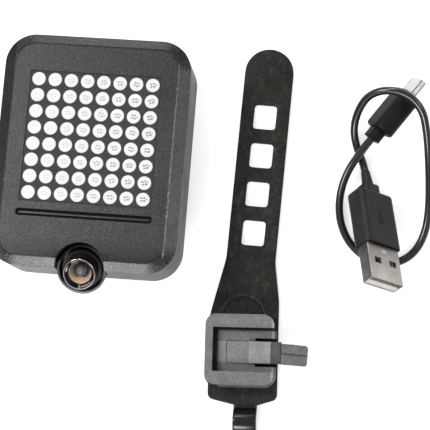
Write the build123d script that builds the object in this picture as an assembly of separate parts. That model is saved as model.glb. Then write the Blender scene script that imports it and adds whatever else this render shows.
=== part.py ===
from build123d import *
import os
from math import cos, pi, radians, sin, tan

os.makedirs("parts", exist_ok=True)

# All sizes are in millimetres. The lamp lies on its back with its face up, its rail foot on the
# table at the origin, its top edge towards +Y. The strap mount and the charging lead lie beside it.

# Lamp case, sized by what it holds
case_side_margin = 8.2
case_top_margin = 11.05
case_chin = 15.33
case_corner_r = 8.9
face_corner_r = 5.6
bevel_depth = 1.5
bevel_side = 3.4
bevel_end = 2.8
rear_depth = 8.2
wall = 2.0
crease_w = 0.35
crease_depth = 0.3
back_round = 1.6
overrun = 1.0

# Gasket in the parting groove
groove_inset = 0.55
groove_w = 0.9
groove_depth = 0.8
gasket_gap = 0.05

# Case screws and their bosses
boss_r = 2.9
boss_bite = 0.5
screw_r = 1.0
screw_gap = 0.15
thread_gap = 0.03
screw_head_r = 1.9
screw_head_h = 1.4
screw_seat_depth = 1.6
screw_len = 15.0
screw_slot_w_share = 0.25
screw_slot_depth_share = 0.5

# LED matrix module
dot_count = 8
dot_web = 0.85
dot_h = 2.0
dot_gap = 0.03
dot_sink = 0.05
matrix_w = 38.0
matrix_h = 6.4
matrix_sink = 0.15
window_gap = 0.1
pin_count = 8
pin_pitch = 2.54
pin_row_inset = 5.05
pin_r = 0.25
pin_len = 3.4
pin_hole_gap = 0.15

# Slot with its light bar, below the matrix
slot_over = 0.75
slot_h = 2.1
slot_below = 3.42
bar_base_h = 1.0
bar_base_margin = 1.0
rib_h = 0.55
rib_end_gap = 0.9
rib_sink = 0.6

# Laser: its axis leans towards the lamp's lower edge
laser_lean = 25.0
ring_beyond = 1.3
ring_drop = 2.0
ring_r = 4.65
ring_bore_r = 3.35
ring_len = 2.6
ring_round = 0.25
ring_inner_chamfer = 0.95
barrel_collar_r = 5.7
barrel_collar_start = 4.6
barrel_len = 12.5
reflector_bore_r = 3.3
reflector_seat_share = 0.64
reflector_front = 1.4
reflector_mouth_r = 3.2
reflector_throat_r = 1.6
reflector_throat_share = 0.1875
lens_r = 1.55
lens_share = 0.55
diode_r = 2.8
diode_share = 0.28
laser_fit = 0.05
holder_r = 7.1
holder_bore_r = 6.45
holder_rim = 3.6
holder_step_share = 0.68
holder_floor_t = 2.0
holder_cut_rise = 1.1
holder_back_round = 1.5
holder_case_gap = 0.05
cutout_r = 7.15
cutout_inset = 0.55

# Main board, hung from posts inside the front shell
board_t = 1.6
board_side_gap = 1.0
board_low_gap = 9.9
board_high_gap = 2.3
board_corner_r = 3.0
board_boss_gap = 0.5
post_r = 1.8
post_gap = 0.6
post_spread = 28.0
post_screw_r = 0.7
post_screw_len = 4.6
post_screw_head_r = 1.5
post_screw_head_h = 0.9
post_hole_r = 0.9

# Chips under the board
controller_w = 7.0
controller_h = 1.2
chip_mark_r = 0.4
chip_mark_depth = 0.2
chip_mark_inset = 1.0
sensor_w = 4.0
sensor_h = 1.0
sensor_x = 12.0
sensor_y = -16.5
charger_w = 5.0
charger_l = 6.2
charger_h = 1.5
charger_x = -12.5
charger_y = -6.5
charger_chamfer = 0.3
capacitor_count = 5
capacitor_w = 1.0
capacitor_l = 1.8
capacitor_h = 0.9
capacitor_pitch = 2.6
capacitor_x = 14.5
capacitor_y = -4.0
capacitor_end_share = 0.22
capacitor_trim = 0.08

# Battery, its pad, plug and two leads
battery_w = 30.0
battery_h = 6.5
battery_end_room = 6.9
battery_holder_gap = 5.6
under_board_room = 3.55
battery_round = 1.4
pad_h = 1.8
pad_margin = 1.0
plug_w = 6.0
plug_l = 3.6
plug_h = 3.4
plug_x = -11.0
plug_chamfer = 0.4
lead_r = 0.45
lead_pitch = 2.5
lead_bend_r = 1.2
lead_reach = 1.9

# USB socket and its cap in the left wall
socket_y = -3.0
socket_w = 7.8
socket_h = 2.75
socket_l = 5.6
socket_skin = 0.35
socket_corner_r = 0.7
socket_floor = 0.6
socket_reach = 0.7
tongue_w = 3.7
tongue_h = 0.6
tongue_l = 3.4
tongue_round = 0.1
port_w = 11.0
port_h = 6.8
port_corner_r = 2.2
cap_w = 13.2
cap_h = 7.8
cap_t = 1.0
cap_sunk = 0.6
cap_corner_r = 1.5
cap_plug_gap = 0.2
cap_gap = 0.2
cap_pocket_gap = 0.12
cap_lip_w = 1.0
cap_lip_l = 5.0
cap_lip_t = 0.5
cap_lip_inset = 0.5
cap_lip_round = 0.3

# Power button in the top wall, with its switch
button_r = 3.0
button_gap = 0.08
button_proud = 0.8
button_flange_r = 3.8
button_flange_h = 0.8
button_flange_gap = 0.1
button_round = 0.6
switch_w = 6.0
switch_l = 3.5
switch_h = 3.5
switch_setback = 0.6
plunger_r = 1.0
plunger_gap = 0.08
plunger_tail = 0.8
plunger_bore = 1.7
button_x = 0.0

# Quick-release rail on the lamp and the shoe that takes it
shoe_l = 20.4
shoe_w = 20.9
shoe_corner_r = 3.2
shoe_side_wall = 2.1
shoe_end_wall = 2.3
lip_opening = 13.0
lip_t = 1.6
rail_height = 2.4
shoe_floor_t = 3.6
flange_margin = 0.5
flange_t = 1.6
rail_side_gap = 0.15
rail_neck_gap = 0.2
rail_top_gap = 0.25
rail_floor_gap = 0.25
rail_len = 17.0
rail_corner_r = 1.2
pedestal_h = 9.0
pedestal_foot_w = 18.0
pedestal_foot_l = 19.0
pedestal_foot_r = 2.5
pedestal_head_w = 26.0
pedestal_head_l = 30.0
pedestal_head_r = 4.0
rail_screw_spread = 17.0
rail_screw_r = 1.1
rail_screw_head_r = 2.0
rail_screw_len = 7.5
band_rise = 0.2

# Release tongue in the shoe
tongue_half = 3.25
tongue_y = -0.6
tongue_t = 1.4
tongue_root = -4.0
tongue_edge_gap = 0.15
tongue_slot_gap = 1.0
tongue_slot_start = 4.4
web_t = 1.0
ramp_face = 2.6
ramp_end = 8.0
ramp_rise = 0.9
notch_gap = 0.3
thumb_start = 12.3
thumb_end = 20.1
thumb_half = 3.05
thumb_skew = -3.9
thumb_skew_x = 8.0
thumb_groove_w = 0.4
thumb_groove_depth = 0.6
thumb_rise = 0.8
thumb_ridge_w = 0.5
thumb_ridge_rise = 0.2
thumb_corner_r = 0.9
recess_start = 9.2
recess_end = 11.6
recess_inset = 0.5
recess_depth = 0.35

# Rubber strap
strap_x = 45.6
strap_y = -51.75
strap_turn = -1.25
shoe_turn = 2.9
strap_t = 2.8
pad_half = 10.4
pad_mid = 0.7
pad_low = -16.1
pad_bow = 1.8
pad_corner_r = 2.2
pad_shoulder_left = 10.6
pad_shoulder_right = 15.0
neck_straight = 2.5
neck_bend_r = 16.0
tail_half = 7.45
tail_mid = 0.25
tail_lift = 0.15
tail_start = 30.0
tail_len = 63.2
tip_flat = 0.15
hole_count = 4
hole_pitch = 12.0
hole_first_in = 5.9
hole_w = 6.9
hole_l = 7.7
hole_corner_r = 1.2
hook_half = 3.5
hook_x = 1.7
hook_t = 2.4
hook_crest_r = 4.2
hook_axis_z = 1.9
hook_root = 0.9
plate_r = 7.5
plate_t = 1.3
plate_sunk = 0.1
plate_gap = 0.1
swivel_r = 1.5
swivel_gap = 0.08
swivel_head_r = 3.0
swivel_head_h = 0.8
swivel_len = 2.7
swivel_bush_r = 2.6

# Charging lead: micro-USB plug
cable_r = 1.2
micro_x = 82.2
micro_y = 17.65
micro_z = 5.1
micro_heading = 55.0
micro_roll = 60.0
micro_side_margin = 1.375
micro_face_margin = 2.55
micro_len = 14.3
micro_corner_r = 2.4
micro_back_round = 0.8
micro_front_round = 1.0
micro_relief_w = 5.2
micro_relief_t = 4.2
micro_relief_len = 3.4
micro_relief_r = 1.3
micro_shell_w = 6.85
micro_shell_t = 1.85
micro_shell_out = 5.4
micro_shell_in = 3.0
micro_shell_skin = 0.3
micro_shell_r = 0.5
micro_core_gap = 0.05
micro_contact_count = 5
micro_contact_pitch = 0.65
micro_contact_w = 0.35
micro_contact_t = 0.12
micro_contact_l = 4.0
micro_mouth_w_share = 0.67
micro_latch_w = 0.6
micro_latch_l = 1.4
micro_latch_rise = 0.25
micro_latch_spread = 4.4
micro_latch_back = 1.9

# Charging lead: USB-A plug
usb_x = 80.83
usb_y = -2.95
usb_z = 6.0
usb_heading = -78.6
usb_pitch = 24.0
usb_roll = 42.4
usb_side_margin = 0.75
usb_face_margin = 1.25
usb_len = 18.7
usb_corner_r = 2.0
usb_back_round = 0.9
usb_front_round = 0.3
usb_front_pocket = 0.9
usb_front_margin = 0.5
usb_relief_w = 5.8
usb_relief_t = 4.8
usb_relief_len = 3.2
usb_relief_r = 1.3
usb_shell_w = 12.0
usb_shell_t = 4.5
usb_shell_out = 12.0
usb_shell_in = 5.0
usb_shell_skin = 0.3
usb_shell_r = 0.5
usb_window_w = 2.5
usb_window_l = 2.0
usb_window_spread = 5.7
usb_window_back = 6.4
usb_core_t = 1.9
usb_core_gap = 0.05
usb_core_sink = 0.3
usb_contact_count = 4
usb_contact_pitch = 2.3
usb_contact_w = 1.1
usb_contact_t = 0.15
usb_contact_l = 7.0
usb_contact_sink = 1.2

# Route of the cable between the two strain reliefs
cable_points = [
    (72.8, 2.1, 4.4),
    (71.7, -4.7, 3.5),
    (72.6, -11.2, 2.6),
    (75.6, -16.9, 2.0),
    (80.4, -20.8, 1.6),
    (86.1, -22.5, 1.4),
    (91.6, -21.5, 1.4),
    (95.8, -18.0, 1.4),
    (98.2, -12.4, 1.6),
    (98.9, -5.5, 2.3),
    (98.5, 2.0, 3.9),
    (97.7, 9.5, 6.5),
    (96.6, 16.6, 9.8),
    (94.8, 22.9, 13.3),
    (90.2, 27.0, 14.7),
    (84.0, 28.4, 14.1),
    (78.4, 26.9, 11.5),
    (75.5, 22.5, 7.6),
    (74.6, 17.6, 4.0),
    (76.0, 12.4, 1.9),
]
cable_lead_out = 7.6
cable_bend_share = 0.45


# Derived sizes and places
reflector_seat = barrel_len * reflector_seat_share
reflector_throat_len = reflector_seat * reflector_throat_share
lens_len = reflector_seat * lens_share
diode_len = barrel_len * diode_share
holder_step = barrel_len * holder_step_share
holder_len = barrel_len + holder_floor_t
case_w = matrix_w + 2 * case_side_margin
case_h = case_top_margin + matrix_w + slot_below + case_chin
matrix_y = case_h / 2 - case_top_margin - matrix_w / 2
dot_pitch = matrix_w / dot_count
dot_r = (dot_pitch - dot_web) / 2
pin_row_spread = matrix_w - 2 * pin_row_inset
slot_w = matrix_w + 2 * slot_over
slot_y = matrix_y - matrix_w / 2 - slot_below
shoe_floor = strap_t + shoe_floor_t
lip_low = shoe_floor + rail_height
shoe_top = lip_low + lip_t
rail_t = rail_height - rail_top_gap - rail_floor_gap
neck_top = rail_t + lip_t + 2 * rail_top_gap
back_z = neck_top + pedestal_h
parting_z = back_z + rear_depth
board_under = back_z + wall + pad_h + battery_h + under_board_room
board_top = board_under + board_t
matrix_top = board_top + matrix_h
face_z = matrix_top + matrix_sink
ring_y = -case_h / 2 - ring_beyond
ring_z = face_z - ring_drop
cutout_y = -case_h / 2 + cutout_inset
board_low_y = -case_h / 2 + board_low_gap
board_high_y = case_h / 2 - wall - board_high_gap
post_x = matrix_w / 2 + post_gap + post_r
tail_end = tail_start + tail_len
neck_low = tail_start - neck_straight
hole_first = tail_start + hole_first_in
pad_low_corner = pad_low + pad_bow
micro_w = micro_shell_w + 2 * micro_side_margin
micro_t = micro_shell_t + 2 * micro_face_margin
usb_w = usb_shell_w + 2 * usb_side_margin
usb_t = usb_shell_t + 2 * usb_face_margin
bevel_z = face_z - bevel_depth
ceiling_z = face_z - wall
floor_z = back_z + wall
corner_span = case_corner_r - wall - boss_r + boss_bite
screw_x = case_w / 2 - case_corner_r + corner_span * cos(pi / 4)
screw_y = case_h / 2 - case_corner_r + corner_span * sin(pi / 4)
screw_places = [(sx * screw_x, sy * screw_y) for sx in (-1, 1) for sy in (-1, 1)]
board_w = case_w - 2 * wall - 2 * board_side_gap
board_mid_y = (board_low_y + board_high_y) / 2
post_places = [(sx * post_x, matrix_y + sy * post_spread / 2) for sx in (-1, 1) for sy in (-1, 1)]
dot_places = [
    ((i - (dot_count - 1) / 2) * dot_pitch, matrix_y + (j - (dot_count - 1) / 2) * dot_pitch)
    for i in range(dot_count)
    for j in range(dot_count)
]
pin_places = [
    ((i - (pin_count - 1) / 2) * pin_pitch, matrix_y + side * pin_row_spread / 2)
    for i in range(pin_count)
    for side in (-1, 1)
]
lean = radians(laser_lean)
laser_frame = Plane(origin=(0, ring_y, ring_z), x_dir=(1, 0, 0), z_dir=(0, -sin(lean), cos(lean)))
rim_centre_z = ring_z - holder_rim * cos(lean)
holder_back_y = ring_y + holder_len * sin(lean) + holder_r * cos(lean)
battery_low_y = holder_back_y + battery_holder_gap
battery_high_y = case_h / 2 - wall - battery_end_room
battery_l = battery_high_y - battery_low_y
battery_y = (battery_high_y + battery_low_y) / 2
socket_z = board_under - socket_h / 2
left_x = -case_w / 2
socket_mouth = left_x + wall - socket_reach
socket_end = socket_mouth + socket_l
button_z = board_under - switch_h / 2
top_wall_in = case_h / 2 - wall
button_back = top_wall_in - button_flange_gap - button_flange_h
switch_front = board_high_y - switch_setback
cavity_w = shoe_w - 2 * shoe_side_wall
rail_w = cavity_w - 2 * rail_side_gap
neck_w = lip_opening - 2 * rail_neck_gap
cavity_start = -shoe_l / 2 + shoe_end_wall
rail_shift = cavity_start + rail_side_gap + rail_len / 2
rail_screw_places = [(side * rail_screw_spread / 2, 0) for side in (-1, 1)]
strap_frame = Location((strap_x, strap_y, 0), (0, 0, strap_turn))
shoe_frame = Location((strap_x, strap_y, 0), (0, 0, shoe_turn))


def rod(radius, z_low, z_high, x=0, y=0):
    return Pos(x, y, (z_low + z_high) / 2) * Cylinder(radius, z_high - z_low)


def block(size_x, size_y, z_low, z_high, x=0, y=0):
    return Pos(x, y, (z_low + z_high) / 2) * Box(size_x, size_y, z_high - z_low)


def slab(size_x, size_y, corner, z_low, z_high, x=0, y=0):
    return extrude(Pos(x, y, z_low) * RectangleRounded(size_x, size_y, corner), z_high - z_low)


def bar_x(size_y, size_z, corner, x_low, x_high, y=0, z=0):
    """A bar along X with its four long edges rounded."""
    bar = Box(x_high - x_low, size_y, size_z)
    bar = fillet(bar.edges().filter_by(Axis.X), corner)
    return Pos((x_low + x_high) / 2, y, z) * bar


def rod_y(radius, y_low, y_high, x=0, z=0):
    return Pos(x, (y_low + y_high) / 2, z) * Rot(90, 0, 0) * Cylinder(radius, y_high - y_low)


def group(solids):
    """Several separate solids that share one node."""
    return Part() + solids


def case_outline(z, inset=0):
    corner = case_corner_r - inset
    return Pos(0, 0, z) * RectangleRounded(case_w - 2 * inset, case_h - 2 * inset, corner)


def in_laser(solid):
    return laser_frame.location * solid


def laser_clearance():
    """The room that the tilted laser holder takes out of the case and its gasket."""
    return in_laser(rod(holder_r + holder_case_gap, -holder_len - holder_case_gap, ring_len + holder_rim))


def front_shell():
    body = extrude(case_outline(parting_z), bevel_z - parting_z)
    face = RectangleRounded(case_w - 2 * bevel_side, case_h - 2 * bevel_end, face_corner_r)
    body += loft([case_outline(bevel_z), Pos(0, 0, face_z) * face])
    body -= crease()
    body -= extrude(case_outline(parting_z, wall), ceiling_z - parting_z)
    for x, y in screw_places:
        body += rod(boss_r, parting_z, ceiling_z + wall / 2, x, y)
    for x, y in post_places:
        body += rod(post_r, board_top, ceiling_z + wall / 2, x, y)
    window = matrix_w + 2 * window_gap
    body -= block(window, window, ceiling_z - overrun, face_z + overrun, 0, matrix_y)
    body -= slab(slot_w, slot_h, slot_h / 2 - dot_sink, ceiling_z - overrun, face_z + overrun, 0, slot_y)
    body -= rod(cutout_r, rim_centre_z, face_z + overrun, 0, cutout_y)
    body -= laser_clearance()
    body -= port_opening()
    hole_end = back_z + screw_seat_depth + screw_len + overrun
    pilots = [rod(screw_r + thread_gap, parting_z, hole_end, x, y) for x, y in screw_places]
    post_end = board_under + post_screw_len + overrun
    pilots += [rod(post_screw_r + thread_gap, board_top, post_end, x, y) for x, y in post_places]
    body -= pilots
    body -= rod_y(button_r + button_gap, top_wall_in - overrun, case_h / 2 + overrun, button_x, button_z)
    return body


def crease():
    """The fine groove that sets the flat face off from the bevel round it."""
    outer_w, outer_h = case_w - 2 * bevel_side, case_h - 2 * bevel_end
    inner_r = face_corner_r - crease_w
    outer = Pos(0, 0, face_z - crease_depth) * RectangleRounded(outer_w, outer_h, face_corner_r)
    inner = Pos(0, 0, face_z - crease_depth)
    inner *= RectangleRounded(outer_w - 2 * crease_w, outer_h - 2 * crease_w, inner_r)
    return extrude(outer - inner, crease_depth + overrun)


def port_opening():
    """The hole for the charging plug, with the shallow pocket that its cap lies in."""
    hole = bar_x(port_w, port_h, port_corner_r, left_x - overrun, left_x + wall + overrun, socket_y, socket_z)
    pocket_w = cap_w + 2 * cap_pocket_gap
    pocket_h = cap_h + 2 * cap_pocket_gap
    pocket_end = left_x + cap_sunk
    pocket = bar_x(pocket_w, pocket_h, cap_corner_r, left_x - overrun, pocket_end, socket_y, socket_z)
    return hole + pocket


def gasket_ring(side_gap):
    outer = case_outline(parting_z - groove_depth, groove_inset + side_gap)
    inner = case_outline(parting_z - groove_depth, groove_inset + groove_w - side_gap)
    return extrude(outer - inner, groove_depth)


def rear_shell():
    body = extrude(case_outline(back_z), parting_z - back_z)
    body = fillet(body.edges().group_by(Axis.Z)[0], back_round)
    body -= extrude(case_outline(floor_z, wall), parting_z - floor_z)
    for x, y in screw_places:
        body += rod(boss_r, back_z + wall / 2, parting_z, x, y)
    for x, y in screw_places:
        body -= rod(screw_r + screw_gap, back_z - overrun, parting_z + overrun, x, y)
        body -= rod(screw_head_r + screw_gap, back_z - overrun, back_z + screw_seat_depth, x, y)
    for x, y in rail_screw_places:
        body -= rod(rail_screw_r + screw_gap, back_z - overrun, floor_z + overrun, x, y)
    body -= gasket_ring(0)
    return body - laser_clearance()


def shell_gasket():
    return gasket_ring(gasket_gap) - laser_clearance()


def screw(radius, length, head_r, head_h, seat_z, x, y, up=1):
    """A pan-head screw whose head sits under seat_z (up=1) or above it (up=-1)."""
    head_ends = sorted((seat_z, seat_z - up * head_h))
    shank_ends = sorted((seat_z, seat_z + up * length))
    turned = rod(head_r, *head_ends, x, y) + rod(radius, *shank_ends, x, y)
    outer_z = seat_z - up * head_h
    slot_z = sorted((outer_z, outer_z + up * head_h * screw_slot_depth_share))
    cut_w = head_r * screw_slot_w_share
    return turned - block(head_r, cut_w, *slot_z, x, y) - block(cut_w, head_r, *slot_z, x, y)


def shell_screws():
    seat = back_z + screw_seat_depth
    return group(
        [screw(screw_r, screw_len, screw_head_r, screw_head_h, seat, x, y) for x, y in screw_places]
    )


def board_screws():
    sizes = (post_screw_r, post_screw_len, post_screw_head_r, post_screw_head_h)
    return group([screw(*sizes, board_under, x, y) for x, y in post_places])


def led_matrix_body():
    body = block(matrix_w, matrix_w, board_top, matrix_top, 0, matrix_y)
    well_floor = matrix_top - dot_sink - dot_h
    return body - [rod(dot_r + dot_gap, well_floor, matrix_top + overrun, x, y) for x, y in dot_places]


def led_dots():
    top = matrix_top - dot_sink
    return group([rod(dot_r, top - dot_h, top, x, y) for x, y in dot_places])


def led_pins():
    return group([rod(pin_r, board_top - pin_len, board_top, x, y) for x, y in pin_places])


def slot_strip():
    base_w = slot_w + 2 * bar_base_margin
    base_h = slot_h + 2 * bar_base_margin
    bar = slab(base_w, base_h, bar_base_margin, ceiling_z - bar_base_h, ceiling_z, 0, slot_y)
    rib_w = slot_w - 2 * rib_end_gap
    return bar + block(rib_w, rib_h, ceiling_z - bar_base_h, face_z - rib_sink, 0, slot_y)


def main_board():
    body = slab(
        board_w, board_high_y - board_low_y, board_corner_r, board_under, board_top, 0, board_mid_y
    )
    low, high = board_under - overrun, board_top + overrun
    holes = [rod(boss_r + board_boss_gap, low, high, x, y) for x, y in screw_places]
    holes += [rod(post_hole_r, low, high, x, y) for x, y in post_places]
    holes += [rod(pin_r + pin_hole_gap, low, high, x, y) for x, y in pin_places]
    return body - holes


def square_chip(width, height, x, y):
    """A square chip with the round mark of its first pin."""
    low = board_under - height
    mark_at = width / 2 - chip_mark_inset
    mark = rod(chip_mark_r, low, low + chip_mark_depth, x + mark_at, y + mark_at)
    return block(width, width, low, board_under, x, y) - mark


def controller_chip():
    return square_chip(controller_w, controller_h, 0, matrix_y)


def motion_sensor():
    return square_chip(sensor_w, sensor_h, sensor_x, sensor_y)


def charge_chip():
    body = block(charger_w, charger_l, board_under - charger_h, board_under, charger_x, charger_y)
    return chamfer(body.edges().group_by(Axis.Z)[0], charger_chamfer)


def board_capacitors():
    caps = []
    for i in range(capacitor_count):
        y = capacitor_y + i * capacitor_pitch
        body = block(capacitor_l, capacitor_w, board_under - capacitor_h, board_under, capacitor_x, y)
        waist = capacitor_l * (1 - 2 * capacitor_end_share)
        low = board_under - capacitor_h
        body -= block(waist, capacitor_w, low, low + capacitor_trim, capacitor_x, y)
        caps.append(body)
    return group(caps)


def battery_pad():
    width, length = battery_w - 2 * pad_margin, battery_l - 2 * pad_margin
    body = block(width, length, floor_z, floor_z + pad_h, 0, battery_y)
    for x, y in rail_screw_places:
        body -= rod(rail_screw_head_r + pad_margin / 2, floor_z, floor_z + pad_h, x, y)
    return body


def battery_cell():
    low = floor_z + pad_h
    body = block(battery_w, battery_l, low, low + battery_h, 0, battery_y)
    return fillet(body.edges().filter_by(Axis.Y), battery_round)


def battery_plug():
    y = battery_high_y + lead_reach
    body = block(plug_w, plug_l, board_under - plug_h, board_under, plug_x, y)
    return chamfer(body.edges().group_by(Axis.Z)[0], plug_chamfer)


def battery_leads():
    leads = []
    start_z = floor_z + pad_h + battery_h / 2
    turn_y = battery_high_y + lead_reach
    for side in (-1, 1):
        x = plug_x + side * lead_pitch / 2
        route = FilletPolyline(
            (x, battery_high_y, start_z),
            (x, turn_y, start_z),
            (x, turn_y, board_under - plug_h),
            radius=[lead_bend_r],
        )
        leads.append(tube_along(route, lead_r))
    return group(leads)


def tube_along(route, radius):
    section = Plane(origin=route @ 0, z_dir=route % 0) * Circle(radius)
    return sweep(section, path=route)


def usb_socket():
    body = bar_x(socket_w, socket_h, socket_corner_r, socket_mouth, socket_end, socket_y, socket_z)
    inside = (socket_w - 2 * socket_skin, socket_h - 2 * socket_skin, socket_corner_r - socket_skin)
    return body - bar_x(*inside, socket_mouth - overrun, socket_end - socket_floor, socket_y, socket_z)


def usb_tongue():
    end_x = socket_end - socket_floor
    return bar_x(tongue_w, tongue_h, tongue_round, end_x - tongue_l, end_x, socket_y, socket_z)


def port_cap():
    outer_x = left_x + cap_sunk - cap_t
    plate = bar_x(cap_w, cap_h, cap_corner_r, outer_x, left_x + cap_sunk, socket_y, socket_z)
    plug_w_y, plug_h_z = port_w - 2 * cap_gap, port_h - 2 * cap_gap
    plug_end = socket_mouth - cap_plug_gap
    plate += bar_x(plug_w_y, plug_h_z, port_corner_r - cap_gap, left_x, plug_end, socket_y, socket_z)
    lip_y = socket_y - cap_w / 2 + cap_lip_inset + cap_lip_w / 2
    lip_size = (cap_lip_w, cap_lip_l, cap_lip_round)
    return plate + bar_x(*lip_size, outer_x - cap_lip_t, outer_x + cap_t / 2, lip_y, socket_z)


def power_button():
    stem = rod_y(button_r, button_back, case_h / 2 + button_proud, button_x, button_z)
    stem = fillet(stem.edges().group_by(Axis.Y)[-1], button_round)
    return stem + rod_y(button_flange_r, button_back, button_back + button_flange_h, button_x, button_z)


def tact_switch():
    y = switch_front - switch_l / 2
    body = block(switch_w, switch_l, board_under - switch_h, board_under, button_x, y)
    bore = rod_y(plunger_r + plunger_gap, switch_front - plunger_bore, switch_front, button_x, button_z)
    return body - bore


def switch_plunger():
    return rod_y(plunger_r, switch_front - plunger_tail, button_back, button_x, button_z)


def laser_holder():
    cup = rod(holder_r, -holder_len, -holder_rim)
    cup = fillet(cup.edges().group_by(Axis.Z)[0], holder_back_round)
    cup -= rod(holder_bore_r, -holder_step, -holder_rim + overrun)
    cup -= rod(barrel_collar_r + laser_fit, -barrel_len, -holder_rim + overrun)
    side = 4 * holder_r
    above_rim = block(side, side, rim_centre_z + holder_cut_rise, face_z + holder_r, 0, ring_y)
    return in_laser(cup) - above_rim


def laser_barrel():
    body = rod(barrel_collar_r, -barrel_len, -barrel_collar_start)
    body += rod(ring_r, -barrel_len, -ring_len)
    body -= rod(reflector_bore_r, -reflector_seat, -ring_len + overrun)
    body -= rod(diode_r + laser_fit, -barrel_len - overrun, -reflector_seat)
    return in_laser(body)


def laser_ring():
    ring = rod(ring_r, -ring_len, 0)
    ring = fillet(ring.edges().group_by(Axis.Z)[-1], ring_round)
    ring -= rod(ring_bore_r, -ring_len - overrun, overrun)
    inner = ring.edges().group_by(Axis.Z)[-1].sort_by(SortBy.LENGTH)[0]
    return in_laser(chamfer(inner, ring_inner_chamfer))


def laser_reflector():
    body = rod(reflector_bore_r - laser_fit, -reflector_seat, -reflector_front)
    cone_len = reflector_seat - reflector_front - reflector_throat_len
    cone = Cone(reflector_throat_r, reflector_mouth_r, cone_len)
    body -= Pos(0, 0, -reflector_front - cone_len / 2) * cone
    throat_end = -reflector_seat + reflector_throat_len + overrun
    body -= rod(reflector_throat_r, -reflector_seat - overrun, throat_end)
    return in_laser(body)


def laser_lens():
    top = -reflector_seat + lens_len
    body = rod(lens_r, -reflector_seat, top)
    return in_laser(body + Pos(0, 0, top) * Sphere(lens_r))


def laser_diode():
    return in_laser(rod(diode_r, -reflector_seat - diode_len, -reflector_seat))


def rear_rail():
    body = slab(rail_w, rail_len, rail_corner_r, 0, rail_t)
    body += block(neck_w, rail_len, 0, neck_top + overrun)
    foot = Pos(0, 0, neck_top) * RectangleRounded(pedestal_foot_w, pedestal_foot_l, pedestal_foot_r)
    head = Pos(0, 0, back_z) * RectangleRounded(pedestal_head_w, pedestal_head_l, pedestal_head_r)
    body += loft([foot, head])
    notch_low = ramp_face - notch_gap - rail_shift
    notch_high = ramp_end + notch_gap - rail_shift
    notch_depth = ramp_rise + notch_gap - rail_floor_gap
    notch_mid = (notch_low + notch_high) / 2
    notch_w = 2 * (tongue_half - tongue_y + notch_gap)
    body -= block(notch_w, notch_high - notch_low, -overrun, notch_depth, 0, notch_mid)
    low = floor_z - rail_screw_len - overrun
    return body - [rod(rail_screw_r + thread_gap, low, back_z + overrun, x, y) for x, y in rail_screw_places]


def rail_screws():
    sizes = (rail_screw_r, rail_screw_len, rail_screw_head_r, screw_head_h)
    return group([screw(*sizes, floor_z, x, y, up=-1) for x, y in rail_screw_places])


def in_strap(x, y):
    """A point of the turned pad, in the strap's own frame."""
    a = radians(shoe_turn - strap_turn)
    return (x * cos(a) - y * sin(a), x * sin(a) + y * cos(a))


def round_corners(outline, places, radius):
    corners = [outline.vertices().sort_by_distance((x, y, 0))[0] for x, y in places]
    return fillet(corners, radius)


def strap_pad():
    left, right = pad_mid - pad_half, pad_mid + pad_half
    root = [in_strap(hook_x - hook_half, pad_low), in_strap(hook_x + hook_half, pad_low)]
    low_corners = [in_strap(right, pad_low_corner), in_strap(left, pad_low_corner)]
    shoulders = [in_strap(right, pad_shoulder_right), in_strap(left, pad_shoulder_left)]
    neck = [(tail_mid + tail_half, neck_low), (tail_mid - tail_half, neck_low)]
    tail = [(tail_mid + tail_half, tail_start), (tail_mid - tail_half, tail_start)]
    points = [*root, low_corners[0], shoulders[0], neck[0], *tail, neck[1], shoulders[1], low_corners[1]]
    outline = make_face(Polyline(*points, close=True))
    outline = round_corners(outline, shoulders + neck, neck_bend_r)
    outline = round_corners(outline, low_corners, pad_corner_r)
    body = extrude(outline, strap_t)
    body -= rod(plate_r + plate_gap, -overrun, plate_t + plate_sunk)
    body -= rod(swivel_bush_r, 0, strap_t + overrun)
    return strap_frame * body


def strap_tail():
    middle = (tail_start + tail_end) / 2
    blank = block(2 * tail_half, tail_end - tail_start, tail_lift, strap_t, tail_mid, middle)
    tip = blank.edges().filter_by(Axis.Z).group_by(Axis.Y)[-1]
    body = fillet(tip, tail_half - tip_flat)
    for i in range(hole_count):
        y = hole_first + i * hole_pitch
        body -= slab(hole_w, hole_l, hole_corner_r, -overrun, strap_t + overrun, tail_mid, y)
    return strap_frame * body


def strap_hook():
    """A curled band that stands on the table and rises over a crest."""
    centre_y = pad_low - hook_root - hook_crest_r
    ring = Circle(hook_crest_r) - Circle(hook_crest_r - hook_t)
    arch = ring & (Pos(0, hook_crest_r) * Rectangle(2 * hook_crest_r, 2 * hook_crest_r))
    leg = Pos(-hook_crest_r + hook_t / 2, -hook_axis_z / 2) * Rectangle(hook_t, hook_axis_z)
    arch += leg
    arch += Pos(hook_crest_r - hook_t / 2, -hook_axis_z / 2) * Rectangle(hook_t, hook_axis_z)
    root_len = hook_root + hook_t
    root_mid = hook_crest_r + hook_root - root_len / 2
    arch += Pos(root_mid, strap_t / 2 - hook_axis_z) * Rectangle(root_len, strap_t)
    side = hook_x - hook_half
    side_plane = Plane(origin=(side, centre_y, hook_axis_z), x_dir=(0, 1, 0), z_dir=(1, 0, 0))
    return shoe_frame * extrude(side_plane * arch, 2 * hook_half)


def swivel_plate():
    body = rod(plate_r, plate_sunk, plate_sunk + plate_t)
    body -= rod(swivel_r + swivel_gap, 0, plate_t + overrun)
    seat = rod(swivel_head_r + swivel_gap, 0, plate_sunk * 2 + swivel_head_h)
    return strap_frame * (body - seat)


def swivel_screw():
    seat = plate_sunk * 2 + swivel_head_h
    body = rod(swivel_head_r, plate_sunk * 2, seat) + rod(swivel_r, seat, seat + swivel_len)
    slot_top = plate_sunk * 2 + swivel_head_h * screw_slot_depth_share
    slot = block(swivel_head_r, swivel_head_r * screw_slot_w_share, plate_sunk, slot_top)
    return shoe_frame * (body - slot)


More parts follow.
